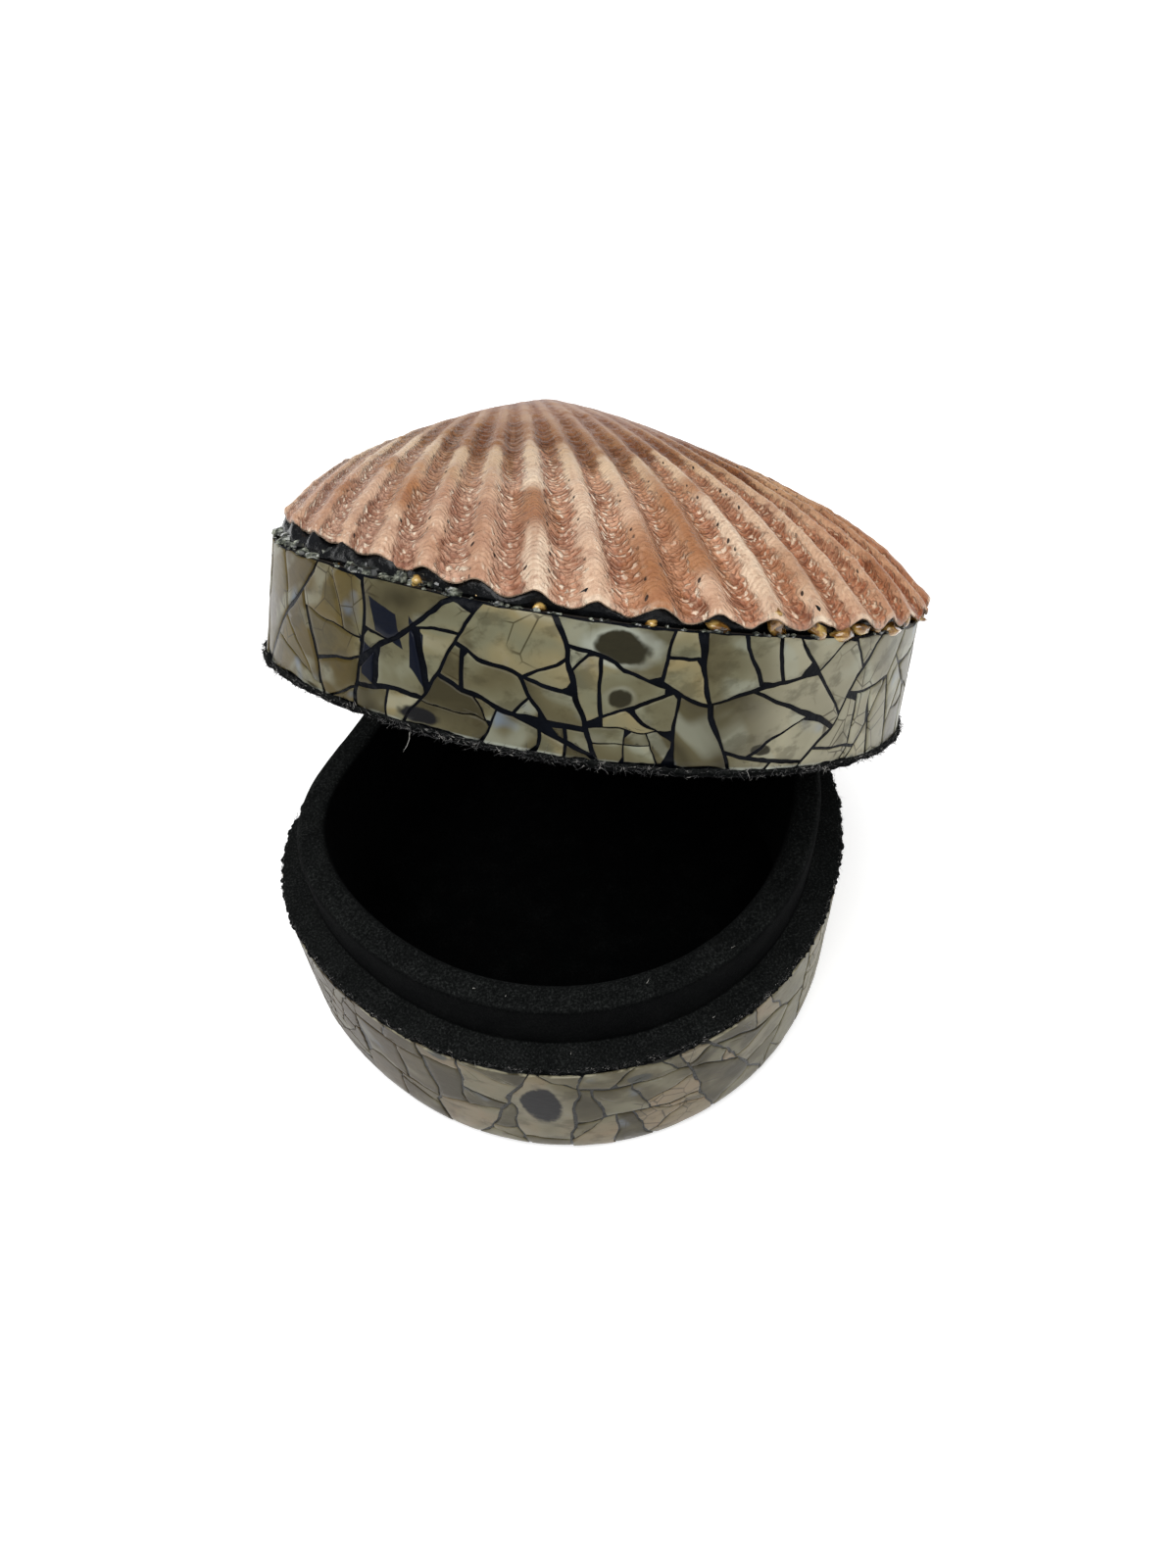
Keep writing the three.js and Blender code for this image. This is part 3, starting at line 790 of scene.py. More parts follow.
# Cracks seen in the photograph: from u, v to u, v, and how wide, in the order in which they cut
baseMosaic = {
    "seed": 11, "foot": 0.55, "top": 20.2, "seams": [-38.0, 26.0], "plate": 17.0, "seamGap": 0.3,
    "shard": 12.0, "gap": 0.26, "scatter": 0.45, "samples": 32, "chipped": 0.25, "turn": 0.01, "tilt": 0.006,
    "lift": 0.03, "shoulder": 0.16, "depth": 0.4, "bend": 0.85, "bendSize": 4.5, "below": True,
    "known": (-38.0, 26.0),
    "cracks": [
        (-14.0, 20.2, -22.0, 0.5, 0.4), (-7.7, 20.2, -10.0, 0.5, 0.34), (-27.8, 20.2, -26.0, 0.5, 0.34),
        (4.0, 20.2, 8.5, 0.5, 0.3), (-12.8, 20.2, -7.7, 15.6, 0.3), (-16.7, 12.6, -14.9, 0.5, 0.28),
        (-20.0, 5.6, -10.0, 7.4, 0.26), (-22.0, 20.0, -22.6, 9.6, 0.3), (-27.0, 9.0, -18.5, 10.2, 0.2),
        (-7.9, 16.0, 4.6, 16.3, 0.32), (-9.5, 8.6, 6.0, 8.4, 0.34), (-6.5, 16.0, -5.5, 8.6, 0.36),
        (-2.2, 16.0, 0.4, 8.6, 0.3), (-9.6, 3.1, -5.6, 8.6, 0.26), (-4.2, 8.5, -3.6, 0.5, 0.26),
        (-2.5, 8.5, 0.4, 1.0, 0.24), (-2.0, 20.2, -4.6, 16.2, 0.28), (1.3, 20.2, 3.6, 16.2, 0.28),
        (4.6, 16.6, 8.6, 18.6, 0.3), (8.0, 18.4, 16.6, 2.0, 0.34), (4.4, 16.2, 11.0, 11.4, 0.28),
        (7.8, 18.1, 26.0, 11.0, 0.36), (7.6, 20.2, 8.0, 18.0, 0.26), (9.6, 15.2, 8.4, 9.4, 0.24),
        (0.6, 8.5, 11.6, 4.0, 0.26), (0.4, 10.8, 5.2, 13.4, 0.2), (0.8, 3.4, 4.6, 6.6, 0.2),
        (14.2, 20.2, 14.6, 15.2, 0.24), (17.4, 19.0, 22.5, 4.0, 0.3), (-38.0, 17.0, -27.0, 16.0, 0.3),
        (-33.0, 20.2, -34.0, 16.6, 0.24), (-38.0, 10.0, -26.6, 8.4, 0.26), (-31.6, 16.4, -31.0, 9.2, 0.24),
        (-32.6, 9.2, -33.4, 0.5, 0.24), (-26.0, 17.2, -20.5, 17.6, 0.24), (-25.5, 13.5, -18.0, 12.6, 0.22),
        (-15.2, 4.0, -10.0, 3.4, 0.2), (-20.6, 4.4, -15.0, 2.6, 0.2), (-10.4, 3.9, -5.0, 1.8, 0.16),
    ],
}
lidMosaic = {
    "seed": 12, "foot": 22.0, "top": 34.36, "seams": [-58.0, -38.3, 30.0], "plate": 15.0, "seamGap": 0.5,
    "shard": 15.0, "gap": 0.36, "scatter": 0.5, "samples": 32, "chipped": 0.4, "turn": 0.012, "tilt": 0.007,
    "lift": 0.03, "shoulder": 0.16, "depth": 0.4, "bend": 0.5, "bendSize": 5.0, "below": False,
    "known": (-58.0, 24.0),
    "cracks": [
        (-45.1, 34.4, -54.9, 23.4, 0.42), (-47.6, 30.2, -42.4, 21.9, 0.4), (-44.2, 25.1, -38.3, 27.2, 0.3),
        (-41.8, 21.9, -38.3, 23.8, 0.3), (-52.6, 34.4, -50.6, 28.4, 0.14), (-46.0, 29.4, -38.3, 28.6, 0.1),
        (-50.4, 27.6, -47.0, 25.0, 0.1), (-52.0, 25.2, -46.2, 23.6, 0.1),
        (-18.6, 34.4, -13.0, 21.9, 0.46), (-27.6, 34.4, -38.3, 26.9, 0.56), (-25.0, 34.4, -29.7, 26.0, 0.34),
        (-31.6, 30.9, -26.4, 31.2, 0.3), (-31.7, 30.6, -29.8, 26.2, 0.9), (-38.3, 29.6, -35.0, 29.4, 0.3),
        (-38.3, 24.3, -29.2, 25.2, 0.46), (-36.2, 27.6, -36.0, 24.4, 0.7), (-34.4, 24.6, -34.0, 21.9, 0.3),
        (-29.0, 27.8, -20.8, 24.9, 0.44), (-26.4, 30.2, -17.0, 27.9, 0.42), (-26.4, 30.2, -26.1, 27.2, 0.42),
        (-20.6, 28.6, -18.1, 30.3, 0.36), (-20.6, 28.5, -18.0, 24.9, 0.4), (-20.9, 25.0, -18.6, 27.2, 0.3),
        (-21.4, 24.8, -14.4, 24.6, 0.5), (-23.4, 21.9, -22.4, 25.4, 0.24), (-18.9, 21.9, -18.6, 24.6, 0.34),
        (-16.2, 21.9, -16.3, 24.6, 0.36), (-25.2, 26.6, -22.8, 23.6, 0.14), (-28.0, 24.6, -23.0, 24.2, 0.12),
        (-7.7, 34.4, -8.1, 29.6, 0.34), (-18.0, 32.2, -9.0, 29.6, 0.34), (-9.8, 29.6, -7.8, 30.2, 0.3),
        (-15.4, 31.2, -16.9, 29.2, 0.3), (-16.8, 27.9, -12.2, 30.4, 0.34), (-13.8, 28.8, -12.9, 24.6, 0.36),
        (-8.2, 29.8, -5.6, 27.9, 0.42), (-6.4, 28.1, -2.8, 28.0, 0.3), (-3.2, 28.0, 3.0, 30.0, 0.36),
        (-13.0, 25.9, -7.4, 28.6, 0.3), (-5.0, 34.4, -4.4, 31.3, 0.36), (-4.6, 31.6, -1.7, 23.6, 0.42),
        (-7.8, 32.0, -4.8, 32.2, 0.3), (-4.6, 31.1, -0.4, 31.4, 0.3), (-1.0, 34.4, 1.6, 29.6, 0.46),
        (-6.4, 28.0, -6.6, 23.6, 0.36), (-6.7, 24.0, 8.0, 22.6, 0.36), (-7.4, 21.9, -6.5, 24.0, 0.34),
        (-3.0, 23.8, -3.0, 21.9, 0.4), (-10.4, 26.8, -7.0, 24.6, 0.16), (-12.9, 24.9, -6.9, 25.4, 0.14),
        (-11.0, 25.0, -10.6, 21.9, 0.14), (-9.0, 25.0, -8.0, 22.4, 0.12), (-12.6, 23.4, -8.6, 23.8, 0.12),
        (2.8, 34.4, 4.0, 28.2, 0.42), (3.0, 29.9, 7.5, 21.9, 0.42), (4.9, 34.4, 11.0, 27.0, 0.4),
        (4.0, 28.3, 6.4, 32.0, 0.46), (4.0, 28.2, 9.8, 26.3, 0.4), (7.2, 21.9, 16.6, 34.4, 0.38),
        (7.4, 31.2, 11.2, 34.0, 0.3), (12.6, 34.4, 17.8, 26.6, 0.34), (10.9, 27.0, 17.4, 26.4, 0.34),
        (17.2, 26.4, 22.9, 34.4, 0.34), (8.4, 23.9, 18.2, 23.2, 0.34), (17.0, 26.6, 18.3, 21.9, 0.34),
        (13.9, 26.6, 13.7, 23.4, 0.34), (13.7, 23.3, 13.0, 21.9, 0.3), (4.4, 25.5, 7.0, 27.2, 0.3),
        (2.6, 21.9, 5.2, 24.4, 0.34), (12.4, 28.8, 19.4, 29.9, 0.26), (20.6, 28.2, 23.4, 21.9, 0.34),
        (21.8, 31.6, 27.0, 28.6, 0.26), (16.2, 30.6, 16.9, 27.6, 0.2),
    ],
}


def same(points):
    return points


def cutSeat(piece, lid):
    # Removes the place of the hinge from a band
    inward = -np.array([math.sin(seat["turn"]), math.cos(seat["turn"]), 0.0])
    up = np.cross(hingeAxis, inward)
    up *= np.sign(up[2])
    corners = np.array([hingePivot + hingeAxis * x + inward * y + up * z
                        for x in (-seat["cutAlong"], seat["cutAlong"])
                        for y in (-seat["cutOut"], seat["cutIn"])
                        for z in (-seat["cutUp"], seat["cutUp"])])
    if lid:
        corners = opened(corners)
    sides = [(0, 1, 3, 2), (4, 6, 7, 5), (0, 4, 5, 1), (2, 3, 7, 6), (0, 2, 6, 4), (1, 5, 7, 3)]
    mesh = bpy.data.meshes.new("seat_cutter")
    mesh.from_pydata(corners * mm, [], sides)
    cutter = bpy.data.objects.new("seat_cutter", mesh)
    scene.collection.objects.link(cutter)
    cut = piece.modifiers.new("seat", "BOOLEAN")
    cut.object = cutter
    cut.operation = "DIFFERENCE"
    cut.solver = "MANIFOLD"
    bpy.context.view_layer.update()
    evaluated = piece.evaluated_get(bpy.context.evaluated_depsgraph_get())
    result = bpy.data.meshes.new_from_object(evaluated)
    piece.modifiers.clear()
    piece.data = result
    bpy.data.objects.remove(cutter)


groutBand = {"groove": 0.12, "columns": 480, "step": 1.2, "waveSize": 1.4, "waveShare": 0.00075}


def buildBand(name, side, back, finishPoints, body, stands, material):
    # A closed band from that inset out to the floor of the grooves, where the grout shows and waves a little
    s = groutBand
    profile = [(back, side[0][1]), *[(inset + s["groove"], v) for inset, v in side], (back, side[-1][1])]
    rings = ringSheet(finePath(profile + profile[:1], s["step"])[:-1], s["columns"])
    rings[..., :2] *= 1 + s["waveShare"] * noiseAt(rings, s["waveSize"])[..., None]
    faces = gridFaces(len(rings), s["columns"], True)
    return makePiece(name, finishPoints(rings.reshape(-1, 3)), faces, body, stands, material)


cutSeat(buildBand("base_grout", baseSide, 0.9, same, "base", ["base_mosaic"], baseGrout), False)
buildMosaic("base_shards", baseMosaic, wallOf(baseSide), same, "base", ["base_mosaic"],
            baseNacre)
cutSeat(buildBand("lid_grout", lidSide, 0.8, opened, "lid", ["lid_mosaic"], lidGrout), True)
buildMosaic("lid_shards", lidMosaic, wallOf(lidSide), opened, "lid", ["lid_mosaic"], lidNacre)

# Small things that are repeated: strands of pile and lumps of resin or nacre


def strands(starts, ways, lengths, radius, curl, draw):
    # Thin three-sided tubes: start + way * t + curl * t * t, thinning towards the tip
    t = np.array([0.0, 0.35, 0.7, 1.0])
    count = len(starts)
    ways = ways / np.linalg.norm(ways, axis=-1, keepdims=True)
    bends = draw.normal(0, curl, (count, 3))
    line = (starts[:, None] + ways[:, None] * (lengths[:, None] * t)[..., None]
            + bends[:, None] * (lengths[:, None] * t * t)[..., None])
    side = np.cross(ways, draw.normal(0, 1, (count, 3)))
    side /= np.linalg.norm(side, axis=-1, keepdims=True)
    other = np.cross(ways, side)
    turn = np.arange(3) * 2 * np.pi / 3
    around = side[:, None] * np.cos(turn)[None, :, None] + other[:, None] * np.sin(turn)[None, :, None]
    thick = radius * (1 - 0.75 * t)
    points = line[:, :, None] + around[:, None] * thick[None, :, None, None]
    faces = np.array(gridFaces(len(t), 3))
    quads = (faces[None] + (np.arange(count) * 12)[:, None, None]).reshape(-1, 4).tolist()
    caps = np.array([[2, 1, 0], [9, 10, 11]])
    ends = (caps[None] + (np.arange(count) * 12)[:, None, None]).reshape(-1, 3).tolist()
    return points.reshape(-1, 3), quads + ends


def lumps(centres, sizes, turns, rough, seed):
    # Round grids of 8 by 5 points, stretched, turned about the upright and roughened
    around, levels = 8, np.array([0.15, 0.35, 0.6, 0.82])
    turn = np.arange(around) * 2 * np.pi / around
    height = np.cos(np.pi * levels)
    ring = np.sin(np.pi * levels)
    unit = np.stack([ring[:, None] * np.cos(turn), ring[:, None] * np.sin(turn),
                     height[:, None] * np.ones(around)], -1)
    unit = np.concatenate([unit.reshape(-1, 3), [[0, 0, 1.0], [0, 0, -1.0]]])
    count, rows = len(centres), len(levels)
    # Each lump reads the noise at a place of its own
    probe = unit[None] * 0.9 + np.arange(count)[:, None, None] * 3.7
    sized = unit[None] * sizes[:, None]
    sized = sized * (1 + rough * noiseAt(probe, 1.0, seed))[..., None]
    x, y, z = np.moveaxis(sized, -1, 0)
    c, n = np.cos(turns)[:, None], np.sin(turns)[:, None]
    points = np.stack([x * c - y * n, x * n + y * c, z], -1) + centres[:, None]
    faces = [face[::-1] for face in gridFaces(rows, around)]
    faces += capFaces(0, around, rows * around, True)
    faces += capFaces((rows - 1) * around, around, rows * around + 1, False)
    shifted = [[index + k * len(unit) for index in face] for k in range(count) for face in faces]
    return points.reshape(-1, 3), shifted


# Velvet of the lid, turned round its lower edge

lidVelvet = {
    "columns": 620, "wall": 2.1, "face": 2.5, "edge": 0.1, "ceiling": 32.35, "under": 31.95, "fray": 0.3,
}


def buildLidVelvet():
    s = lidVelvet
    foot, edge = box["lidFoot"], s["edge"]
    # Down inside the board, round the roll that stands out at the foot, and up along the velvet's face
    stops = [(s["wall"], s["ceiling"]), (s["wall"], foot + 0.3), (edge + 0.5, foot + 0.34),
             (edge + 0.1, foot + 0.72), (edge - 0.25, foot + 0.68), (edge - 0.42, foot + 0.36),
             (edge - 0.25, foot + 0.04), (edge + 0.2, foot - 0.04), (s["face"], foot),
             (s["face"], s["under"])]
    profile = finePath(stops, 0.8)
    rings = ringSheet(profile, s["columns"])
    insets, heights = np.array(profile).T
    roll = (insets < 0.7) & (heights < foot + 1)
    ragged = roughAt(rings, 1.6, 4)
    pushOut(rings, ragged * roll[:, None] * s["fray"])
    rings[..., 2] += roughAt(rings, 1.3, 3, 4) * roll[:, None] * 0.12
    count, rows = s["columns"], len(rings)
    middle = rings[0].mean(0)[:2]
    points = np.concatenate([rings.reshape(-1, 3), [[*middle, s["ceiling"]], [*middle, s["under"]]]])
    faces = gridFaces(rows, count) + capFaces((rows - 1) * count, count, rows * count + 1, True)
    faces += capFaces(0, count, rows * count, False)
    faces = [face[::-1] for face in faces]
    return makePiece("lid_velvet", opened(points), faces, "lid", ["lid_lining"], velvet)


cutSeat(buildLidVelvet(), True)


# The palest stop of the fibres' colour paints glints: light caught on single fibres, besides their dark grey
# tones
fibres = grainRecipe("velvet_fibres", (1800.0, 2.0),
                     [(0.42, (0.003, 0.003, 0.004)), (0.56, (0.03, 0.03, 0.03)), (0.66, (0.3, 0.29, 0.27))],
                     0.5, 0.3, constants={"Specular IOR Level": 0.3, "Sheen Weight": 0.1})
# Each edge: how many strands, their lengths, inset and height, and its side of the joint line
fray = {
    "lid": (4200, (0.2, 0.75), -0.15, box["lidFoot"] + 0.36, -1),
    "base": (3200, (0.2, 0.55), 0.25, 20.95, 1),
    "radius": 0.04, "curl": 0.45, "joint": 21.16, "apart": 0.02,
}


def buildFray():
    draw = np.random.default_rng(21)
    for name, body, stands, finishPoints in (("lid_fray", "lid", "lid_lining", opened),
                                             ("base_fray", "base", "base_lining", same)):
        count, lengths, inset, height, side = fray[body]
        u = draw.uniform(0, perimeter, count)
        away = np.abs((u - hingeU + perimeter / 2) % perimeter - perimeter / 2)
        u = u[away > seat["along"] + 0.6]
        count = len(u)
        flat = outlineAt(u, np.full(count, inset) + draw.normal(0, 0.12, count))
        outward = outlineAt(u, np.full(count, -1.0)) - outlineAt(u, np.zeros(count))
        along = np.stack([-outward[:, 1], outward[:, 0]], -1)
        starts = np.c_[flat, height + draw.uniform(-0.34, 0.3, count)]
        spread = draw.normal(0, 1.0, (count, 2))
        level = outward * draw.uniform(-0.1, 0.45, count)[:, None] + along * spread[:, :1]
        ways = np.c_[level, spread[:, 1] * 0.3]
        points, faces = strands(starts, ways, draw.uniform(*lengths, count), fray["radius"],
                                fray["curl"], draw)
        # Each strand stays on its own side of the joint line, so that the closed lid presses on none
        points = points.reshape(count, -1, 3)
        over = np.maximum((points[..., 2] * side).max(1) - fray["joint"] * side + fray["apart"], 0)
        points[..., 2] -= side * over[:, None]
        makePiece(name, finishPoints(points.reshape(-1, 3)), faces, body, [stands], fibres)


buildFray()


# A loose thread under the lid's edge and a few specks on collar and ledge: u, inset, height, way, length
lint = {
    "lid": [(-31.0, -0.2, 21.3, (0.1, -0.5, -1.0), 1.9)],
    "base": [(-21.5, 5.1, 28.12, (1.0, 0.2, 0.2), 0.35), (1.5, 5.4, 28.14, (1.0, 0.6, 0.1), 0.9),
             (-17.0, 5.0, 28.12, (0.3, 1.0, 0.0), 0.3), (14.0, 4.6, 28.1, (1.0, 0.0, 0.1), 0.35),
             (9.0, 1.8, 21.15, (1.0, 0.4, 0.0), 0.4), (-9.0, 2.2, 21.15, (0.2, 1.0, 0.1), 0.3)],
    "radius": 0.045, "curl": 0.35,
}


def buildLint():
    draw = np.random.default_rng(41)
    pale = grainRecipe("pale_lint", (2500.0, 2.0), [(0.35, (0.25, 0.24, 0.22)), (0.65, (0.62, 0.6, 0.56))],
                       0.5, 0.3, constants={"Specular IOR Level": 0.2})
    for name, body, stands, finishPoints in (("lid_lint", "lid", "lid_lining", opened),
                                             ("base_lint", "base", "base_lining", same)):
        u, inset, height, ways, lengths = (np.array(column, float) for column in zip(*lint[body]))
        starts = np.c_[outlineAt(u, inset), height]
        points, faces = strands(starts, ways, lengths, lint["radius"], lint["curl"], draw)
        makePiece(name, finishPoints(points), faces, body, [stands], pale)


buildLint()
print("mosaics and lid velvet are made")

# The scallop shell
scallop = {
    "height": 17.4, "sideShift": 0.7, "wall": 1.6, "lip": 0.2, "crownLeft": 1.9, "crownFromFront": 59.8,
    "beakFromFront": 84.5, "beakOverhang": 2.4, "domePower": 0.71, "frontCurve": 1.52, "sideCurve": 1.19,
    "backCurve": 1.8, "ribs": 27, "ribPitch": math.radians(3.62), "ribTurn": math.radians(0.5),
    "ribDepth": 1.2, "earDrop": 0.3, "discHalfAngle": math.radians(49.0), "glue": 0.25,
    "ribSamples": 18, "earSamples": 22, "rows": 150, "ribShape": 1.25, "marginDrop": 0.72,
}
crown = np.array([scallop["sideShift"] - scallop["crownLeft"], frontY + scallop["crownFromFront"]])
beak = np.array([scallop["sideShift"], frontY + scallop["beakFromFront"]])
discTip = beak + [0, scallop["beakOverhang"]]
crestLift = scallop["glue"] + 0.8 + scallop["ribDepth"]


def reachToMargin(start, direction):
    # How far a ray runs before it meets the margin, found by halving
    near = np.zeros(direction.shape[:-1])
    far = near + 4 * box["halfWidth"]
    for _ in range(34):
        middle = (near + far) / 2
        point = start + direction * middle[..., None]
        x = point[..., 0] - scallop["sideShift"]
        y = point[..., 1]
        inside = np.hypot(x, y) < outlineRadius(np.arctan2(x, -y))
        near, far = np.where(inside, middle, near), np.where(inside, far, middle)
    return near


def domeShare(flat):
    # 1 at the crown and 0 at the edge of the disc: (1 - share ** curve) ** power along each ray
    offset = flat - crown
    distance = np.maximum(np.linalg.norm(offset, axis=-1), 1e-6)
    direction = offset / distance[..., None]
    reach = reachToMargin(crown, direction)
    for side in (-1, 1):
        flank = np.array([side * math.cos(scallop["discHalfAngle"]), math.sin(scallop["discHalfAngle"])])
        towards = direction @ flank
        toFlank = flank @ (discTip - crown) / np.maximum(towards, 1e-6)
        reach = np.minimum(reach, np.where(towards > 1e-6, toFlank, 1e9))
    share = np.minimum(1, distance / reach)
    forward = -direction[..., 1]
    farCurve = np.where(forward > 0, scallop["frontCurve"], scallop["backCurve"])
    curve = scallop["sideCurve"] + (farCurve - scallop["sideCurve"]) * forward ** 2
    return (1 - share ** curve) ** scallop["domePower"]


def ribWave(turns, onDisc):
    # The height of a rib's cross-section, 1 on its crest, and the share of the rib depth that is cut away
    ridge = (0.5 + 0.5 * np.cos(2 * math.pi * turns)) ** scallop["ribShape"]
    return ridge, np.where(onDisc, 1 - ridge, scallop["earDrop"])


def setBackAt(angle):
    # How far the shell's margin stays behind the outline: a bell at the left, where chips show beside it,
    # and more along the right
    aside = np.mod(angle + math.pi, 2 * math.pi) - math.pi
    return 0.4 + 1.3 * np.exp(-((aside + 0.72) / 0.28) ** 2) + 2.2 * smoothStep(aside, 0.3, 0.9)


def buildScallop():
    s = scallop
    half = s["ribs"] / 2 * s["ribPitch"]
    ribbed = s["ribTurn"] - half + np.arange(s["ribs"] * s["ribSamples"]) / s["ribSamples"] * s["ribPitch"]
    behind = np.linspace(s["ribTurn"] + half, 2 * math.pi + s["ribTurn"] - half, 2 * s["earSamples"] + 1)[:-1]
    angle = np.r_[ribbed, behind]
    rows = 1 - (1 - np.linspace(0.012, 1, s["rows"])) ** 1.15
    direction = np.stack([np.sin(angle), -np.cos(angle)], -1)
    reach = reachToMargin(beak, direction)
    turns = (angle - s["ribTurn"]) / s["ribPitch"]
    onDisc = np.abs(turns) <= s["ribs"] / 2 + 1e-9
    probe = np.stack([np.sin(angle), np.cos(angle), np.zeros_like(angle)], -1) * 40
    ragged = roughAt(probe, 0.9, 3, 2) * 0.5
    along = rows[:, None] * np.ones(len(angle))
    reach = reach - setBackAt(angle)
    flat = beak + direction * (along * reach)[..., None]
    share = domeShare(flat)
    ridge, wave = ribWave(turns, onDisc)
    # Ribs rise late on their way from the beak, and stay lower at the left
    relief = 0.12 * along + 0.88 * smoothStep(along, 0.4, 0.95)
    relief *= (1 - 0.6 * smoothStep(-turns, 3.5, 8.5)) * (1 - 0.25 * smoothStep(turns, 5.0, 9.0))
    # The right flank ends steeper than the front
    flank = smoothStep(turns, 5.0, 11.0) * 1.1 * smoothStep(along, 0.9, 1.0) ** 1.5
    crestDrop = (s["marginDrop"] * smoothStep(along, 0.82, 1.0) + 0.15 * smoothStep(along, 0.93, 1.0) * ridge
                 + flank)
    lift = crestLift + (s["height"] - crestLift) * share - s["ribDepth"] * wave * relief - crestDrop
    place = np.concatenate([flat, np.zeros(flat.shape[:-1] + (1,))], -1)
    crest = np.where(onDisc, ridge, 0.4)
    # Growth: shallow terraces that follow the margin, each edge bulging forward on the ribs
    grown = along * reach.mean() + 0.9 * crest + 0.5 * roughAt(place, 9.0, 2, 6)
    terrace = 0
    for stop, high in ((31.0, 0.06), (45.0, 0.06), (53.0, 0.16), (60.5, 0.14), (67.0, 0.18), (73.5, 0.14)):
        terrace = terrace + high * (smoothStep(grown, stop - 1.6, stop) - smoothStep(grown, stop, stop + 0.5))
    lamella = np.sin(2 * math.pi * (grown / 1.15 + 0.25 * noiseAt(place, 2.2, 4)))
    scales = lamella * smoothStep(along, 0.25, 0.5) * (1.15 - crest) * 0.07
    dents = roughAt(place, 5.0, 3, 3) * 0.09 + roughAt(place, 0.9, 2, 5) * 0.06 * smoothStep(along, 0.5, 0.7)
    lift = lift + (terrace + scales + dents) * smoothStep(along, 0.05, 0.3)
    height = box["lidTop"] + lift + ragged * 0.5 * smoothStep(along, 0.97, 1.0)
    # The margin is broken: the lip runs a little in and out
    edge = smoothStep(along, 0.96, 1.0)
    outerFlat = flat + direction * (ragged * edge)[..., None]
    outer = np.concatenate([outerFlat, height[..., None]], -1)
    wall = s["lip"] + (s["wall"] - s["lip"]) * np.minimum(1, share / 0.3) + roughAt(place, 1.8, 2, 8) * 0.06
    innerRows = np.searchsorted(rows, [0.2, 0.42, 0.6, 0.75, 0.86, 0.94, 0.98, 1.0]).clip(0, s["rows"] - 1)
    inner = outer[innerRows].copy()
    inner[..., 2] -= wall[innerRows]
    tip = np.array([*beak, box["lidTop"] + crestLift + (s["height"] - crestLift) * domeShare(beak)])
    count = len(angle)
    lipRow = (outer[-1] + inner[-1]) / 2
    lipRow[:, :2] += direction * 0.04
    rings = np.concatenate([inner, lipRow[None], outer[::-1]])
    total = len(rings)
    points = np.concatenate([rings.reshape(-1, 3), [tip - [0, 0, s["wall"]], tip]])
    faces = gridFaces(total, count)
    faces += capFaces(0, count, total * count, False)
    faces += capFaces((total - 1) * count, count, total * count + 1, True)

    def rowsOf(values):
        # One value for each point, in the order of the rings and with both tips last
        values = np.broadcast_to(values, along.shape)
        rings = np.concatenate([values[innerRows], values[-1:], values[::-1]])
        return np.r_[rings.ravel(), values[0, 0], values[0, 0]]

    # Brown stretches on some ribs, each at its own distance from the beak
    draw = np.random.default_rng(5)
    ribNumber = np.clip(np.round(turns) + s["ribs"] // 2, 0, s["ribs"] - 1).astype(int)
    ribTint = draw.random(s["ribs"])[ribNumber]
    rust = 0
    for middles, lengths, weights in zip(*draw.random((3, 3, s["ribs"]))):
        away = (along - 0.6 - 0.42 * middles[ribNumber]) / (0.02 + 0.05 * lengths[ribNumber])
        rust = rust + weights[ribNumber] * np.exp(-away ** 2)
    attributes = {
        "ribTint": rowsOf(np.where(onDisc, ribTint, 0.5)),
        "rust": rowsOf(np.where(onDisc, rust, 0)),
        "ribCrest": rowsOf(crest),
        "ribTurns": rowsOf(np.where(onDisc, turns, s["ribs"] / 2)),
        "growth": rowsOf(grown),
        "alongShell": rowsOf(along),
        "inside": np.r_[np.ones(len(inner) * count), np.zeros(count), np.zeros(len(outer) * count), 1.0, 0.0],
    }
    makePiece("scallop", opened(points), faces, "lid", ["scallop_shell"], shellMaterial,
              attributes)
    print("scallop", 2 * len(faces), "triangles at most")


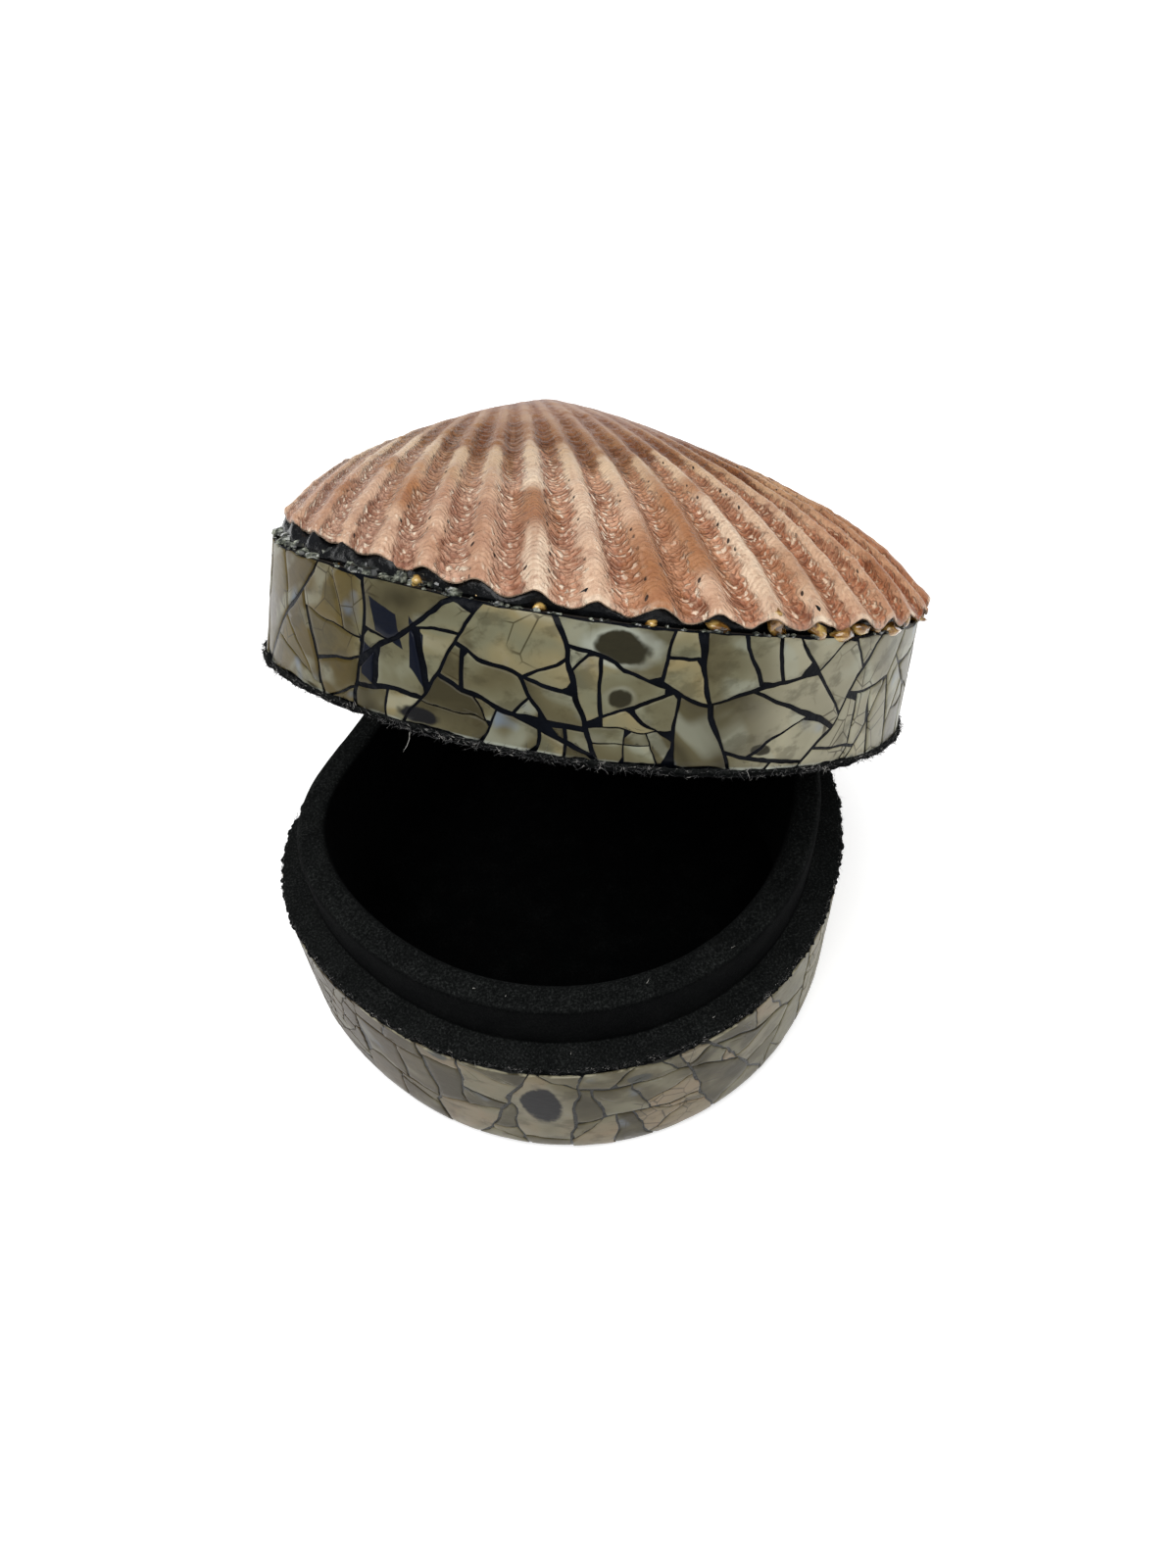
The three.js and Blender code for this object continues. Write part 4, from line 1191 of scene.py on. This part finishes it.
def shellRecipe():
    recipe = Recipe("scallop_shell", **{"Coat Roughness": 0.12, "Coat IOR": 1.4, "Specular IOR Level": 0.22})
    place = recipe.place()
    crest, turns, growth, along, inside, tint, rust = (recipe.attribute(name) for name in (
        "ribCrest", "ribTurns", "growth", "alongShell", "inside", "ribTint", "rust"))
    cloud = recipe.noise(place, 75.0, 3.0, 0.55)
    mottle = recipe.noise(place, 420.0, 4.0, 0.65)
    grit = recipe.noise(place, 1500.0, 3.0, 0.7)
    # Scales: cells in the rib's own directions, in rows that arch over each rib, bent by noise
    rows = growth * 2.2 + cloud * 2.5
    flow = recipe.joined(turns * 9.0 + mottle * 4.0, rows + mottle * 4.0, grit * 0.6)
    scale = recipe.cells(flow, 1.0)
    shade = recipe.cells(flow, 1.0, output=1)
    line = (rows * (2 * math.pi) + mottle * 20.0).wave() * 0.5 + 0.5
    # The tops of the ribs are cream to salmon, with fine brown lines and pale scales
    ribTop = recipe.ramp(cloud * 0.45 + mottle * 0.3 + tint * 0.25,
                         [(0.36, (0.52, 0.29, 0.18)), (0.5, (0.75, 0.52, 0.36)), (0.66, (0.92, 0.76, 0.57))])
    ribTop = recipe.layered(
        ribTop, (line * 0.35 * mottle.step(0.4, 0.6), (0.36, 0.18, 0.115)),
        (grit.step(0.5, 0.38) * mottle.step(0.55, 0.45) * 0.5, (0.42, 0.24, 0.16)),
        (scale.step(0.4, 0.15) * shade.step(0.55, 0.7) * 0.5, (0.9, 0.76, 0.6)))
    # The grooves are red brown, paler at the left, with dark scales and painted glints: bright specks on the
    # scales that stand for light caught on them
    groove = recipe.ramp(cloud * 0.4 + mottle * 0.6,
                         [(0.38, (0.25, 0.085, 0.038)), (0.5, (0.5, 0.21, 0.11)), (0.62, (0.72, 0.4, 0.25))])
    # Paler grooves at the left: partly their own tone, partly painted light on the side the light comes from
    paleAndLitGroove = recipe.mix(mottle.step(0.35, 0.65), (0.28, 0.14, 0.1), (0.64, 0.45, 0.35))
    groove = recipe.layered(
        groove, (turns.step(-1.0, -7.0) * 0.5, paleAndLitGroove), (line.step(0.55, 1.0) * 0.4, (0.68, 0.46, 0.32)),
        (scale.step(0.35, 0.7) * shade.step(0.55, 0.3) * 0.65, (0.16, 0.05, 0.025)),
        (scale.step(0.5, 0.25) * shade.step(0.5, 0.62) * 0.85, (0.95, 0.8, 0.62)))
    top = (crest + mottle + scale * 0.4 - 0.68).step(0.3, 0.75)
    rusty = recipe.mix(mottle, (0.22, 0.07, 0.022), (0.5, 0.22, 0.085))
    colour = recipe.layered(groove, (top * 0.85, ribTop), (rust.step(0.2, 0.7) * (0.45 + top * 0.45), rusty))
    # Towards the beak the shell is smooth and golden brown. The pale tops of the ribs begin at a ragged line.
    beakTone = recipe.ramp(cloud * 0.5 + crest * 0.15 + mottle * 0.35,
                           [(0.36, (0.19, 0.072, 0.025)), (0.5, (0.33, 0.16, 0.065)),
                            (0.64, (0.47, 0.28, 0.128))])
    reach = along + cloud * 0.2 + tint * 0.08 + crest * 0.05 + mottle * 0.06
    pale = reach.step(0.87, 0.91) * reach.step(1.06, 0.94)
    # Streaks run along the ribs and rings across them. Rows of tiny dark pits lie beside the ribs.
    streak = recipe.noise(recipe.joined(turns * 2.5, growth * 0.06), 1.0, 3.0, 0.6)
    ring = recipe.noise(recipe.joined(growth * 0.35, turns * 0.1), 1.0, 3.0, 0.7)
    pits = recipe.cells(recipe.joined(turns * 5.0, growth), 1.0, randomness=0.5)
    pits = pits.step(0.2, 0.14) * crest.step(0.3, 0.4) * crest.step(0.85, 0.7) * along.step(0.55, 0.65)
    colour = recipe.layered(
        colour, (reach.step(0.93, 0.87) * 0.92, beakTone), (pale * (0.1 + top * 0.6), (0.78, 0.62, 0.43)),
        (streak.step(0.5, 0.7) * 0.4, (0.3, 0.125, 0.06)), (streak.step(0.48, 0.3) * 0.3, (0.66, 0.46, 0.32)),
        (ring.step(0.5, 0.7) * 0.3, (0.33, 0.15, 0.1)),
        (pits * cloud.step(0.42, 0.52) * 0.95, (0.02, 0.012, 0.01)))
    # Redder and darker to the right and towards the beak. The darkening on the right is partly painted shade,
    # on the side turned from the light, and partly the shell's own redder tone.
    redderShadedRight = turns.step(-3.0, 6.0) * (1.0 - turns.step(6.0, 11.0) * 0.6) * 0.95
    darkerRightAndBeak = (redderShadedRight + along.step(0.85, 0.55) * 0.7).clamped()
    colour = recipe.mix(darkerRightAndBeak, colour, (0.7, 0.53, 0.41), "MULTIPLY")
    # The lip is broken and pale, the inside plain
    lip = (along + grit * 0.012 + mottle * 0.012).step(1.012, 1.016)
    lip = lip.most(along.step(0.996, 0.999) * cloud.step(0.4, 0.55) * turns.step(-5.0, -2.0) * 0.7)
    colour = recipe.layered(colour, (lip * (0.25 + crest * 0.6), (0.86, 0.78, 0.62)),
                            (inside.step(0.1, 0.6), (0.32, 0.22, 0.15)))
    bare = along.step(0.45, 0.7)
    height = ((line * 0.4 + shade * 0.5 + (1.0 - scale) * 0.8) * (1.35 - top) * bare
              + (grit + mottle) * (0.08 + bare * 0.5))
    normal = recipe.bump(height, 0.85, 0.0004)
    return recipe.finish(Base_Color=colour, Roughness=0.36 + mottle * 0.2, Normal=normal, Coat_Weight=0.14)


shellMaterial = shellRecipe()
buildScallop()
print("scallop is made")

# The filler under the shell's margin, black with amber resin


def fillerRecipe():
    recipe = Recipe("black_filler", **{"Coat Weight": 0.15, "Coat Roughness": 0.2, "Specular IOR Level": 0.2})
    place = recipe.place()
    mottle = recipe.noise(place, 220.0, 4.0, 0.65)
    black = recipe.ramp(mottle, [(0.35, (0.0015, 0.0018, 0.002)), (0.7, (0.007, 0.008, 0.01))])
    colour = recipe.mix(recipe.noise(place, 75.0, 2.0).step(0.6, 0.66), black, (0.2, 0.1, 0.015))
    normal = recipe.bump(recipe.noise(place, 700.0, 4.0, 0.6), 0.8, 0.0004)
    return recipe.finish(Base_Color=colour, Roughness=0.25, Normal=normal)


filler = {
    "columns": 520, "face": 1.3, "uneven": 0.5, "under": 0.5, "levels": [0.0, 0.3, 0.62, 0.86, 1.0],
    "bulge": [0.1, 0.0, 0.05, 0.25, 0.6], "flat": 2.6, "back": 5.2, "above": 0.02,
}


def buildFiller():
    s = filler
    columns = s["columns"]
    u = np.arange(columns) / columns * perimeter
    outline = np.c_[outlineAt(u, np.zeros(columns)), np.zeros(columns)]
    outerInset = s["face"] + s["uneven"] * roughAt(outline, 3.0, 3)

    def topAt(flat):
        # The height of the shell's underside, which the filler reaches
        offset = flat - beak
        angle = np.arctan2(offset[..., 0], -offset[..., 1])
        turns = (angle - scallop["ribTurn"]) / scallop["ribPitch"]
        wave = ribWave(turns, np.abs(turns) < scallop["ribs"] / 2)[1]
        under = crestLift + (scallop["height"] - crestLift) * domeShare(flat) - scallop["ribDepth"] * wave
        return box["lidTop"] + np.maximum(under - s["under"] - scallop["marginDrop"], 0.08)

    bottom = box["lidTop"] + s["above"]
    rings = []
    for level, back in zip(s["levels"], s["bulge"]):
        flat = outlineAt(u, outerInset + back)
        rings.append(np.c_[flat, bottom + (topAt(flat) - bottom) * level])
    highest = topAt(outlineAt(u, np.full(columns, s["flat"])))
    for inset in (s["flat"] + 1, s["back"]):
        flat = outlineAt(u, np.full(columns, inset))
        rings.append(np.c_[flat, np.minimum(topAt(flat), highest)])
    rings.append(np.c_[outlineAt(u, np.full(columns, s["back"])), np.full(columns, bottom)])
    rings = np.array(rings)
    rings[1:-1] += roughAt(rings[1:-1], 1.6, 3)[..., None] * [0.2, 0.2, 0.05]
    faces = gridFaces(len(rings), columns, True)
    makePiece("filler_bed", opened(rings.reshape(-1, 3)), faces, "lid", ["shell_filler"],
              fillerRecipe())


buildFiller()


amber = grainRecipe("amber_resin", (600.0, 3.0, 0.6),
                    [(0.36, (0.03, 0.012, 0.002)), (0.5, (0.24, 0.11, 0.016)), (0.64, (0.62, 0.42, 0.13))],
                    0.2, bump=(0.4, 0.0003),
                    constants={"Coat Weight": 1.0, "Coat Roughness": 0.05, "Specular IOR Level": 0.5})
chipNacre = grainRecipe("nacre_chips", (900.0, 4.0, 0.7),
                        [(0.46, (0.008, 0.01, 0.009)), (0.54, (0.09, 0.1, 0.075)),
                         (0.66, (0.42, 0.44, 0.36))],
                        0.25, 0.2, constants={"Coat Weight": 1.0, "Coat Roughness": 0.05})

# Resin that shows under the shell: number of its rib from the middle, half width and half height.
# Chips of nacre lie thick from one length round the outline to another, and thinly all round.
resin = {
    "drops": [(-5.0, 0.95, 0.85), (-0.9, 1.5, 0.5), (0.1, 1.0, 0.95), (1.0, 1.2, 0.7), (1.6, 1.0, 0.55),
              (2.1, 1.2, 0.75), (2.7, 1.0, 0.55), (3.3, 1.2, 0.65), (4.0, 1.0, 0.6), (-3.9, 0.6, 0.4),
              (-2.0, 0.7, 0.35)],
    "thick": 0.85, "behind": 0.75, "chipsAt": (-64.0, -27.0), "chips": 95, "moreChips": 240,
}


def buildResin():
    draw = np.random.default_rng(31)
    s = resin
    drops = np.array(s["drops"])
    more = np.concatenate([draw.uniform(5, 13, 8), draw.uniform(-13, -6, 6)])
    angle = scallop["ribTurn"] + np.r_[drops[:, 0], more] * scallop["ribPitch"]
    wide = np.r_[drops[:, 1], draw.uniform(0.4, 0.8, len(more))]
    high = np.r_[drops[:, 2], draw.uniform(0.25, 0.5, len(more))]
    outward = np.stack([np.sin(angle), -np.cos(angle)], -1)
    turn = np.arctan2(outward[:, 1], outward[:, 0]) + np.pi / 2
    flat = beak + outward * (reachToMargin(beak, outward) - setBackAt(angle) - s["behind"])[:, None]
    centres = np.c_[flat, box["lidTop"] + high * 0.7]
    points, faces = lumps(centres, np.c_[wide, np.full(len(wide), s["thick"]), high], turn, 1.0, 1)
    makePiece("amber_resin", opened(points), faces, "lid", ["shell_filler"], amber)
    u = np.r_[draw.uniform(*s["chipsAt"], s["chips"]), draw.uniform(0, perimeter, s["moreChips"])]
    count = len(u)
    size = draw.uniform(0.3, 0.9, (count, 3)) * [1.2, 0.8, 0.6]
    size[s["chips"]:] *= 0.35
    inset = draw.uniform(0.5, 1.0, count)
    inset[:s["chips"]] = draw.uniform(1.0, 2.3, s["chips"])
    height = box["lidTop"] + size[:, 2] * 0.3 + 0.35 * np.maximum(inset - 1.0, 0)
    points, faces = lumps(np.c_[outlineAt(u, inset), height], size, draw.uniform(0, np.pi, count), 1.1, 2)
    makePiece("nacre_chips", opened(points), faces, "lid", ["shell_filler"], chipNacre,
              smooth=False)


buildResin()
print("filler is made")

# What stays of the CAD: the cases and the hinge


def caseRecipe():
    recipe = Recipe("stained_board")
    place = recipe.place()
    grain = recipe.noise(recipe.scaled(place, (1.0, 6.0, 6.0)), 160.0, 5.0, 0.6)
    colour = recipe.ramp(grain, [(0.3, (0.012, 0.009, 0.008)), (0.7, (0.035, 0.027, 0.022))])
    normal = recipe.bump(grain, 0.3, 0.0002)
    return recipe.finish(Base_Color=colour, Roughness=0.55, Normal=normal)


def dress(node, material):
    slots = frame["nodes"][node].material_slots
    if not slots:
        frame["nodes"][node].data.materials.append(material)
    for slot in slots:
        slot.material = material


case = caseRecipe()
brass = grainRecipe("dull_brass", (500.0, 4.0, 0.6), [(0.35, (0.25, 0.17, 0.07)), (0.65, (0.5, 0.36, 0.15))],
                    0.3, 0.25, bump=(0.15, 0.0001), fine=(2500.0, 2.0), constants={"Metallic": 1.0})
for node in ("base_case", "lid_case"):
    dress(node, case)
for node in ("hinge_base_leaf", "hinge_lid_leaf", "hinge_pin"):
    dress(node, brass)

# Floor and soft studio light

studio = {
    "world": 0.2, "floorHalf": 4000.0, "floorHeight": -0.05, "floorGlow": 0.36,
    "softness": math.radians(60.0),
    "suns": [("soft_sun", (-0.22, -0.2, 1.0), 2.9), ("soft_fill", (0.6, -0.75, 0.7), 0.5)],
}


def buildStudio():
    half = studio["floorHalf"]
    corners = np.array([(x, y, studio["floorHeight"]) for x, y in (
        (-half, -half), (half, -half), (half, half), (-half, half))])
    mesh = bpy.data.meshes.new("studio_floor")
    mesh.from_pydata(corners * mm, [], [(0, 1, 2, 3)])
    floor = bpy.data.objects.new("studio_floor", mesh)
    scene.collection.objects.link(floor)
    pale = Recipe("pale_floor", **{"Base Color": (0.9, 0.9, 0.9), "Roughness": 0.9, "Specular IOR Level": 0.0,
                                   "Emission Color": (1.0, 1.0, 1.0),
                                   "Emission Strength": studio["floorGlow"]})
    mesh.materials.append(pale.material)
    world = bpy.data.worlds.new("studio")
    world.use_nodes = True
    sky = world.node_tree.nodes["Background"]
    sky.inputs[0].default_value = (1.0, 1.0, 1.0, 1.0)
    sky.inputs[1].default_value = studio["world"]
    scene.world = world
    for name, towards, power in studio["suns"]:
        data = bpy.data.lights.new(name, "SUN")
        data.angle = studio["softness"]
        data.energy = power
        light = bpy.data.objects.new(name, data)
        back = np.array(towards) / np.linalg.norm(towards)
        side = np.cross([0, 0, 1.0], back)
        side /= np.linalg.norm(side)
        turned = np.eye(4)
        turned[:3, 0], turned[:3, 1], turned[:3, 2] = side, np.cross(back, side), back
        light.matrix_world = Matrix(turned.tolist())
        scene.collection.objects.link(light)
    scene.view_settings.view_transform = "Standard"


buildStudio()
